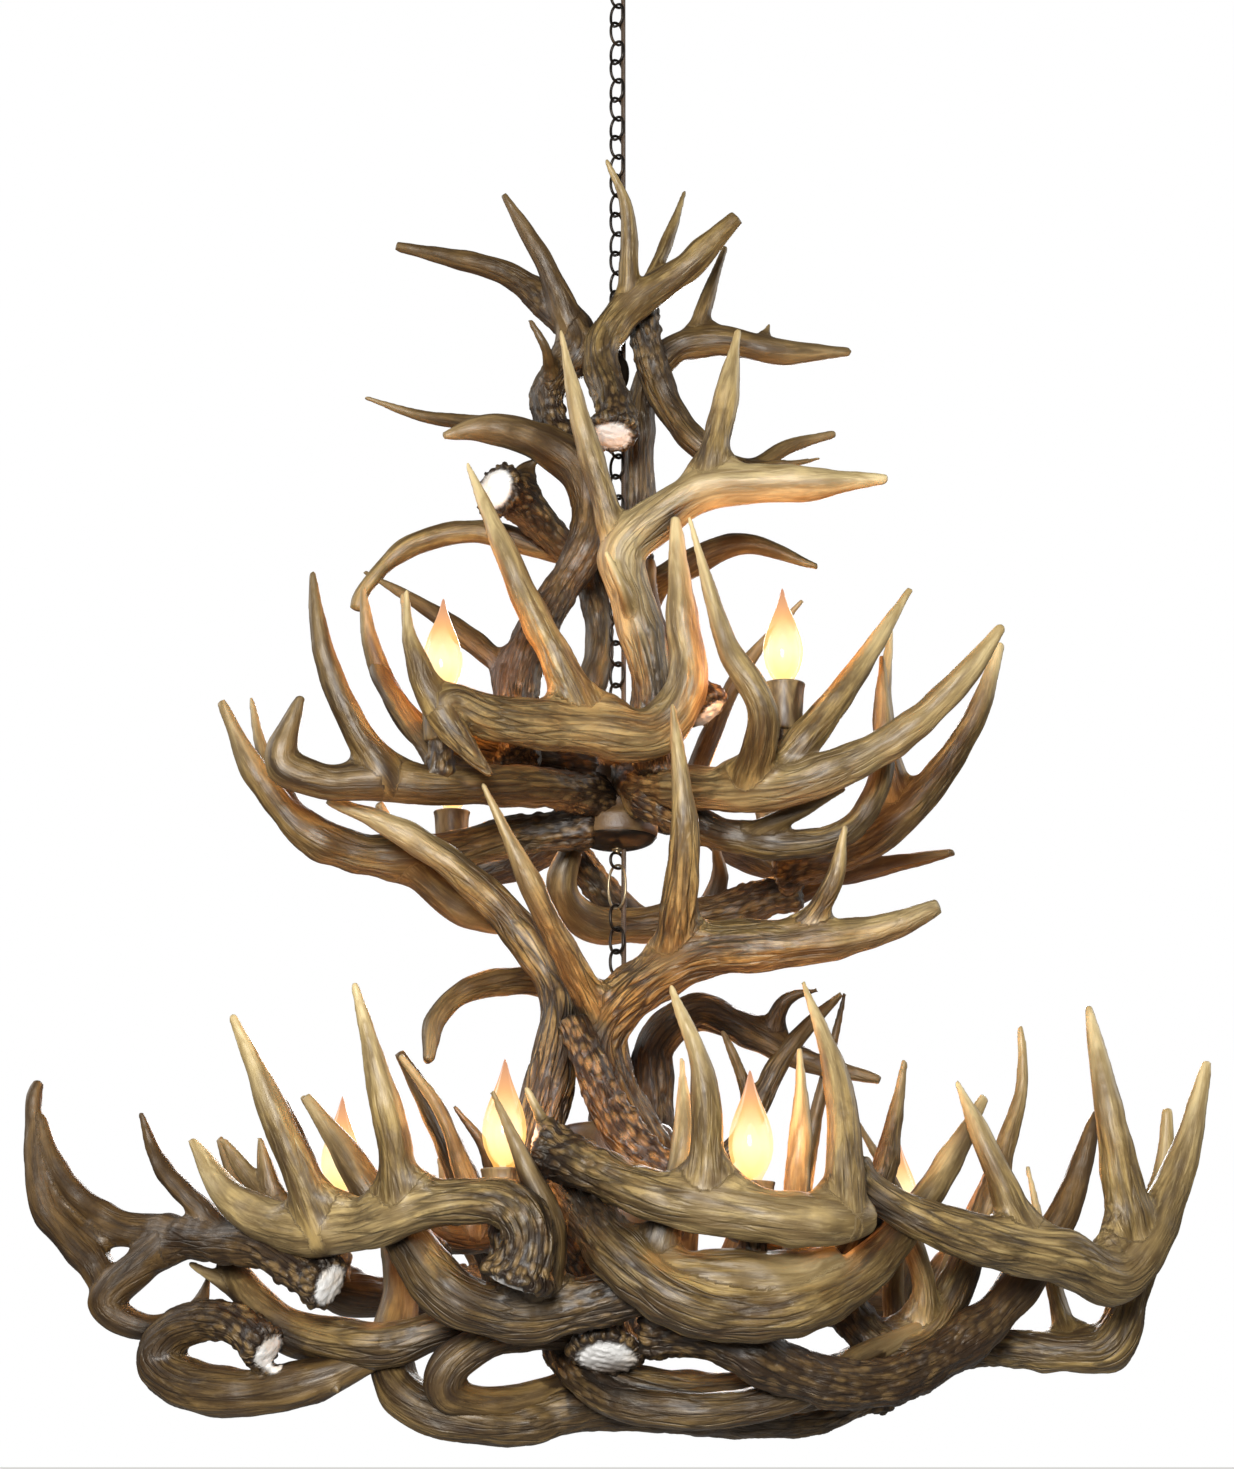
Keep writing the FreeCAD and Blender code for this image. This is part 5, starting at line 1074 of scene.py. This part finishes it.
def wire_rings(name, rings, steps=26):
    """Upright ovals of round wire: each ring is (half width, half height, wire, centre height, yaw)."""
    lines = []
    for half_width, half_height, wire_across, centre, yaw in rings:
        turns = [2 * math.pi * k / steps for k in range(steps)]
        outline = [(half_width * math.copysign(abs(math.cos(turn)) ** OVAL_POWER, math.cos(turn)),
                    half_height * math.copysign(abs(math.sin(turn)) ** OVAL_POWER, math.sin(turn))) for turn in turns]
        lines.append(np.array([(x * MM * math.cos(yaw), x * MM * math.sin(yaw), (centre + z) * MM,
                                wire_across / 2 * MM) for x, z in outline]))
    mesh = bevelled(name, lines, 2, True)
    mesh.name = name
    mesh.shade_smooth()
    return add(name, mesh)


def join(target, *others):
    """Adds the other pieces' meshes to the first piece."""
    bm = bmesh.new()
    bm.from_mesh(target.data)
    for other in others:
        bm.from_mesh(other.data)
        bpy.data.objects.remove(other)
    bm.to_mesh(target.data)
    bm.free()
    return target


print("lathe and wire ready")

# %% [markdown]
# ## Chain
# Each link hangs in the one above, turned a quarter, so its place follows from the last one: the
# lowest wire so far, the wires' thickness, and the link's height. The whole chain stands at 45
# degrees to the view, which is why the photograph shows every link as the same narrow oval. A long
# link under a dark egg-shaped bead joins its two lengths.

# %% Chain from canopy to upper hub
WIRE = 2.8
LINK = (8.4, 11.4, WIRE)
COUPLER = (8.4, 23.0, WIRE)
EYE = (8.0, 7.0, WIRE)
CANOPY_LOOP_MIDDLE = -35.0
LINKS_ABOVE_COUPLER = 18
LINKS_BELOW_COUPLER = 16
JOINT_GAP = 0.3
CHAIN_YAW = math.pi / 4
QUARTER = math.pi / 2
hang_state = {"bottom": CANOPY_LOOP_MIDDLE - EYE[1], "wire": WIRE, "yaw": CHAIN_YAW}


def hang(half_width, half_height, wire_across, gap=0.0):
    """The next ring down, as a row for wire_rings."""
    top = hang_state["bottom"] + (hang_state["wire"] + wire_across) / 2 + gap
    hang_state["yaw"] += QUARTER
    hang_state["wire"] = wire_across
    hang_state["bottom"] = top - 2 * half_height
    return half_width, half_height, wire_across, top - half_height, hang_state["yaw"]


dress(wire_rings("top_link", [hang(*LINK, gap=JOINT_GAP)]), bronze, "chain_top_link", "chain", "chain_top_link")
upper_rings = [hang(*LINK, gap=JOINT_GAP)] + [hang(*LINK) for _ in range(LINKS_ABOVE_COUPLER)]
upper_rings.append(hang(*COUPLER))
bead_middle = hang_state["bottom"] + COUPLER[1]
upper_rings += [hang(*LINK) for _ in range(LINKS_BELOW_COUPLER)]
bead = turned("coupling_bead", profile(bead_middle, [(0, 18), (4.2, 18), (9.6, 12.6), (12.0, 1.8), (10.2, -10.8),
                                                     (4.2, -18), (0, -18)]), segments=32)
upper_chain = join(wire_rings("upper_chain", upper_rings), bead)
dress(upper_chain, bronze, "upper_section", "chain", "chain_upper")
upper_eye = hang(*EYE)
print("upper chain ends at", round(hang_state["bottom"], 1))

# %% [markdown]
# The lower tier hangs on a pale drop ring in the upper hub's lower eye, and on three links.

# %% Drop ring and lower chain
LOWER_EYE_MIDDLE = UPPER_HUB_BOTTOM - 10.0
DROP_RING = (10.8, 19.6, 2.4)
lower_eye = (*EYE, LOWER_EYE_MIDDLE, hang_state["yaw"])
hang_state["bottom"] = LOWER_EYE_MIDDLE - EYE[1]
dress(wire_rings("drop_ring", [hang(*DROP_RING, gap=JOINT_GAP)], 36), aged_brass, "drop_link", "drop_ring",
      "drop_link")
dress(wire_rings("lower_chain", [hang(*LINK, gap=JOINT_GAP), hang(*LINK), hang(*LINK)]), bronze, "lower_section",
      "chain", "chain_lower")
rod_eye = hang(*EYE)
print("rod eye at", round(hang_state["bottom"], 1))

# %% [markdown]
# ## Canopy and hubs
# The canopy is a shallow spun dome with a rolled rim and a loop under it. The upper hub is a stained
# drum over a dark bowl with a small brass finial. The lower hub is a plain column, nearly hidden.

# %% Canopy
canopy_dome = turned("canopy_dome", profile(
    0, [(64, 0), (64, -3.6), (64, -7), (60, -7.6), (58.5, -9.0), (50, -14.0), (40, -17.8), (26, -20.5), (17, -21.5),
        (16, -23.5), (14, -25), (5, -25)], [(0, 0), (64, 0)], [(0, -25)]), segments=72)
canopy_neck = turned("canopy_neck", rounded([(0, -24), (5.5, -24), (5.0, -26.5), (2.9, -27.4), (2.6, -28.4),
                                             (0, -28.6)]), segments=24)
join(canopy_dome, canopy_neck, wire_rings("canopy_loop", [(*EYE, CANOPY_LOOP_MIDDLE, CHAIN_YAW)]))
dress(canopy_dome, bronze, "canopy", "canopy", "canopy")
print("canopy", len(canopy_dome.data.polygons), "faces")

# %% Upper hub
drum = turned("upper_hub_drum", profile(
    UPPER_HUB_BOTTOM, [(26, 96), (30, 95), (30, 88), (29, 80), (29.3, 50), (31, 32), (36.0, 28), (36.6, 24),
                       (36.6, 14), (35.6, 11)], [(0, 96), (26, 96)], [(0, 11)]), segments=64)
dress(drum, stained_hub, "upper_section", "hub", "upper_hub")
bowl = turned("upper_hub_bowl", profile(
    UPPER_HUB_BOTTOM, [(0, 12), (34.4, 12), (35.0, 10), (31.0, 5.5), (20.0, 1.6), (9.0, 0.6), (6.0, 0.4),
                       (0, 0.4)]), segments=64)
dress(bowl, bronze, "upper_section", "hub")
finial = turned("upper_hub_finial", profile(
    UPPER_HUB_BOTTOM, [(0, 2), (5.2, 2), (5.4, -0.6), (3.4, -1.4), (3.6, -2.6), (2.2, -3.6), (0, -3.9)]), segments=28)
dress(finial, aged_brass, "upper_section", "hub")
eyes = join(wire_rings("upper_hub_eyes", [upper_eye, lower_eye]), turned("upper_hub_neck", profile(
    UPPER_HUB_BOTTOM, [(0, 95), (6, 95.5), (5, 97.5), (2.8, 98.2), (2.8, 99.8), (0, 100)]), segments=24))
dress(eyes, bronze, "upper_section", "hub")
print("upper hub", len(drum.data.polygons), "faces")

# %% Lower hub
column = turned("lower_hub_column", profile(
    LOWER_HUB_TOP, [(40, 0), (46, -1), (50, -8), (49.5, -20), (49.5, 20 - LOWER_HUB_HEIGHT),
                    (50, 8 - LOWER_HUB_HEIGHT), (46, 1 - LOWER_HUB_HEIGHT), (40, -LOWER_HUB_HEIGHT)],
    [(0, 0), (40, 0)], [(0, -LOWER_HUB_HEIGHT)]), segments=64)
dress(column, stained_hub, "lower_section", "hub", "lower_hub")
rod = join(turned("lower_hub_rod", profile(
    LOWER_HUB_TOP, [(0, -1), (11, -1), (11, 4), (5.2, 6), (5.0, 10), (5.0, 116), (4.2, 119), (2.6, 120.5), (0, 121)],
    rounds=1), segments=28), wire_rings("rod_eye", [rod_eye]))
dress(rod, bronze, "lower_section", "hub")
print("lower hub", len(column.data.polygons), "faces")

# %% [markdown]
# ## Lamps
# A cup in antler brown stands on a short stump of antler. In it is a dark lampholder, and in that
# the screw shell of a flame-tip bulb. A lit bulb is brightest low in the middle and turns amber
# towards its tip. A camera-facing trick would slide in other views, so the glass is a thin
# see-through amber skin, with five nested glow shells and a lit core inside it.

# %% Lamp materials
cup_brown, tree, shader = new_material("cup_brown")
cup_place = wire(tree, "Mapping", None, Vector=wire(tree, "TexCoord").outputs["Object"], Scale=(1.0, 1.0, 0.25))
cup_flow = use_group(tree, streaks, Along=cup_place.outputs[0], Scale=0.8)
cup_share = band(tree, cup_flow.outputs["Broad"], 0.36, 0.64)
fill(tree, shader, Base_Color=blend_colours(tree, cup_share, (0.050, 0.028, 0.011, 1), (0.260, 0.180, 0.078, 1)),
     Roughness=spread(tree, cup_flow.outputs["Fine"], start=0.30, end=0.60),
     Normal=bump(tree, cup_flow.outputs["Fine"], 0.4, 0.0006))

holder_black, tree, shader = new_material("lampholder_black")
grit = wire(tree, "TexNoise", None, Vector=wire(tree, "TexCoord").outputs["Object"], Scale=900.0,
            Detail=4.0).outputs["Fac"]
fill(tree, shader, Base_Color=blend_colours(tree, grit, (0.012, 0.011, 0.010, 1), (0.035, 0.032, 0.030, 1)),
     Roughness=spread(tree, grit, start=0.35, end=0.60))


def glow_finish(name, stops, strength, alpha_low, alpha_high):
    """A lit, see-through finish whose colour and cover follow the height up the glass."""
    material, tree, shader = new_material(name)
    rise = wire(tree, "Attribute", {"attribute_name": "rise"}).outputs["Fac"]
    fill(tree, shader, Base_Color=(0.06, 0.03, 0.01, 1.0), Roughness=0.10, Emission_Strength=strength,
         Emission_Color=colour_ramp(tree, rise, stops), Alpha=band(tree, rise, 0.45, 0.75, alpha_low, alpha_high))
    return material


amber_glass = glow_finish("amber_glass", [(0.0, (0.98, 0.60, 0.12, 1)), (0.28, (1.0, 0.80, 0.28, 1)),
                                          (0.55, (1.0, 0.62, 0.22, 1)), (0.78, (0.84, 0.42, 0.20, 1)),
                                          (1.0, (0.58, 0.27, 0.17, 1))], 1.0, 0.40, 0.94)
glow_shell = glow_finish("glow_shell", [(0.0, (1.0, 0.84, 0.30, 1)), (0.45, (1.0, 1.0, 0.72, 1)),
                                        (1.0, (1.0, 0.70, 0.28, 1))], 1.15, 0.40, 0.25)
lit_core = glow_finish("lit_core", [(0.0, (1.0, 0.90, 0.55, 1)), (0.5, (1.0, 0.97, 0.80, 1)),
                                    (1.0, (1.0, 0.80, 0.42, 1))], 2.2, 1.0, 1.0)
print("lamp finishes ready")

# %% [markdown]
# Cups, lampholders and bulbs are turned from outlines. Heights count from the lip of the cup, where
# the glass starts. The screw shell's thread is a row of small waves in its outline.

# %% Outlines of a lamp
CUP_HEIGHT = 42.0
CUP = [(0, -CUP_HEIGHT), (10.0, -CUP_HEIGHT), (13.6, -41.5), (14.8, -39.5), (15.4, -30), (16.4, -14), (17.2, -4),
       (18.1, -1.6), (18.1, -0.3), (17.0, 0), (15.9, -0.8), (15.2, -5), (13.6, -30), (12.2, -36), (0, -36)]
HOLDER = [(0, -36.5), (10.4, -36.5), (10.4, -18), (10.6, -17), (10.6, -12), (10.4, -11), (10.4, -5), (9.6, -4),
          (6.6, -4), (6.6, -26), (0, -26)]
GLASS_HEIGHT = 85.0
GLASS = [(7.5, 0.0), (9.2, 4.0), (12.6, 10.0), (15.6, 17.0), (17.0, 24.0), (17.1, 31.0), (16.2, 38.0),
         (14.2, 45.5), (11.4, 53.0), (8.3, 60.5), (5.6, 67.5), (3.5, 74.0), (2.1, 79.5), (1.1, 83.0),
         (0.0, GLASS_HEIGHT)]
GLOW_MIDDLE = 26.0
GLOW_HEIGHT = 64.0
GLOW = [(0.0, 2.0), (6.0, 4.0), (11.4, 12.0), (14.0, 22.0), (14.2, 30.0), (12.4, 39.0), (8.6, 48.0), (4.6, 56.0),
        (1.6, 62.0), (0.0, GLOW_HEIGHT)]
CORE_HEIGHT = 50.0
CORE = [(0.0, 10.0), (3.0, 11.5), (6.2, 17.0), (7.6, 24.0), (7.2, 30.0), (5.4, 36.0), (2.8, 41.0), (1.1, 43.8),
        (0.0, 44.6)]
PITCH = 2.6
SCREW_SHELL = [(0, -26), (2.2, -25.8), (4.0, -24.4), (5.2, -24.0)]
for turn in range(7):
    SCREW_SHELL += [(6.15, -23.2 + PITCH * turn), (5.55, -21.9 + PITCH * turn)]
SCREW_SHELL += [(6.1, -4.6), (7.3, -0.4), (7.5, 0.6), (0, 0.8)]
print("thread points", len(SCREW_SHELL))

# %% [markdown]
# The stump under a cup is grown and carved like an antler. A weak warm lamp in each bulb lights the
# antlers round it, and the glass, shells and core cast no shadow, so that its light gets out.

# %% Lamps
CUP_BITE = 6.0
FOOT_BITE = 12.0
FOOT_RADII = (12.0, 11.0, 13.0)
FOOT_LOOKS = (0.35, 0.85, USUAL_GRAIN, -1.0)
SHELL_SHARES = (1.0, 0.9, 0.8, 0.7, 0.6)
LIGHT_POWER = 0.85
LIGHT_COLOUR = (1.0, 0.40, 0.10)
LIGHT_SIZE = 0.012


def mark_rise(piece, low, high):
    """Stores how far up the glass each point is, from 0 to 1."""
    points = read_points(piece.data)
    keep_mask(piece.data, "rise", np.clip((points[:, 2] / MM - low) / (high - low), 0, 1))


def stand_bulb(name, lip, centre):
    """A bulb's glass, glow shells, core and screw shell, and the light that it gives."""
    glass = turned(name + "_glass", GLASS, centre, 40)
    mark_rise(glass, lip, lip + GLASS_HEIGHT)
    shells = join(*[turned(f"{name}_glow_{share}", [(radius * share, GLOW_MIDDLE + (z - GLOW_MIDDLE) * share ** 0.6)
                                                    for radius, z in rounded(GLOW, 1)], centre, 28)
                    for share in SHELL_SHARES])
    mark_rise(shells, lip, lip + GLOW_HEIGHT)
    core = turned(name + "_core", rounded(CORE, 1), centre, 28)
    mark_rise(core, lip, lip + CORE_HEIGHT)
    dress(glass, amber_glass, name, "bulb_glass", name)
    dress(shells, glow_shell, name, "bulb_glass")
    dress(core, lit_core, name, "bulb_glass")
    dress(turned(name + "_shell", SCREW_SHELL, centre, 32), shell_brass, name, "bulb_glass")
    for clear_piece in (glass, shells, core):
        clear_piece.visible_shadow = False
    glow = bpy.data.lights.new(name + "_glow", "POINT")
    glow.energy = LIGHT_POWER
    glow.color = LIGHT_COLOUR
    glow.shadow_soft_size = LIGHT_SIZE
    lit = add(name + "_glow", glow)
    lit.location = (centre[0], centre[1], (lip + GLOW_MIDDLE) * MM)
    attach(lit, name)


def stand_lamp(tier, datum, name, x, y, glass_height, seat):
    """A lamp at one place. Returns its cup, lampholder and stump, which are joined to the others'."""
    lip = datum / MM + glass_height
    centre = (x * MM, y * MM, lip * MM)
    cup = turned(f"cup_{tier}_{name}", rounded(CUP, 1), centre, 40)
    holder = turned(f"holder_{tier}_{name}", rounded(HOLDER, 1), centre, 32)
    top, bottom = lip - CUP_HEIGHT + CUP_BITE, datum / MM + seat - FOOT_BITE
    stump, travel = sample_line(np.array([(x, y, height, radius) for height, radius in zip(
        (top, (top + bottom) / 2, bottom), FOOT_RADII)]) * MM)
    foot = skin_from_lines(f"foot_{tier}_{name}", [stump])
    carve(foot, [stump], [travel], PLAIN, FOOT_LOOKS, int(abs(x)), [])
    stand_bulb(f"bulb_{tier}_{name}", lip, centre)
    return cup, holder, foot


for tier, body, datum, lamps in (("upper", "upper_section", UPPER_DATUM, UPPER_LAMPS),
                                 ("lower", "lower_section", LOWER_DATUM, LOWER_LAMPS)):
    cups, holders, feet = zip(*[stand_lamp(tier, datum, *lamp) for lamp in lamps])
    dress(join(*cups), cup_brown, body, "lamp_cup", tier + "_lamp_cups")
    dress(join(*holders), holder_black, body, "lamp_cup")
    dress(join(*feet), antler_finish, body, "lamp_cup")
print("lamps:", len(UPPER_LAMPS) + len(LOWER_LAMPS))

# %% [markdown]
# ## Lamp cord
# The supply cord is a dark twisted sheath held by the chain all the way, in the valley between the
# turned links. Each run of it is a straight piece between two heights.

# %% Cord material
cord_sheath, tree, shader = new_material("cord_sheath")
twist = wire(tree, "TexWave", {"wave_type": "BANDS", "bands_direction": "DIAGONAL"},
             Vector=wire(tree, "TexCoord").outputs["Object"], Scale=330.0, Distortion=1.0, Detail=1.0).outputs["Fac"]
fill(tree, shader, Base_Color=blend_colours(tree, twist, (0.030, 0.018, 0.011, 1), (0.115, 0.070, 0.038, 1)),
     Roughness=spread(tree, twist, start=0.55, end=0.35), Normal=bump(tree, twist, 0.6, 0.0005))
print("cord material:", len(tree.nodes), "nodes")

# %% [markdown]
# Each run of cord is a row: its name, its top and bottom, the bodies above and below it, where it
# starts and ends to follow the lower one, and the CAD node that it stands for, if there is one.

# %% Cord pieces
CORD_RADIUS = 2.2
CORD_OFFSET = 6.0
RING_SPACING = 3.0
CORD_RUNS = [("cord_at_canopy", -16.0, -52.0, "canopy", "chain_top_link", -34.0, -50.0, ()),
             ("cord_upper", -52.0, -818.6, "chain_top_link", "upper_section", -54.0, -70.0, ("lamp_cord_upper",)),
             ("cord_at_drop_ring", -913.0, -950.0, "upper_section", "drop_link", -920.0, -944.0, ()),
             ("cord_lower", -950.0, -1158.6, "drop_link", "lower_section", -956.0, -980.0, ("lamp_cord_lower",))]


def cord_piece(name, top, bottom):
    """A straight run of cord between two heights, with a ring of points every few millimetres."""
    steps = max(6, int(abs(top - bottom) / RING_SPACING))
    outline = [(0, top)] + [(CORD_RADIUS, top + (bottom - top) * k / steps) for k in range(steps + 1)] + [(0, bottom)]
    piece = turned(name, outline, (CORD_OFFSET * MM, 0, 0), 14)
    piece.data.materials.append(cord_sheath)
    return piece


for name, top, bottom, above, below, start, end, stands_for in CORD_RUNS:
    run = cord_piece(name, top, bottom)
    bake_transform(run)
    if stands_for:
        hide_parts(*stands_for)
print("cord pieces", len(CORD_RUNS))
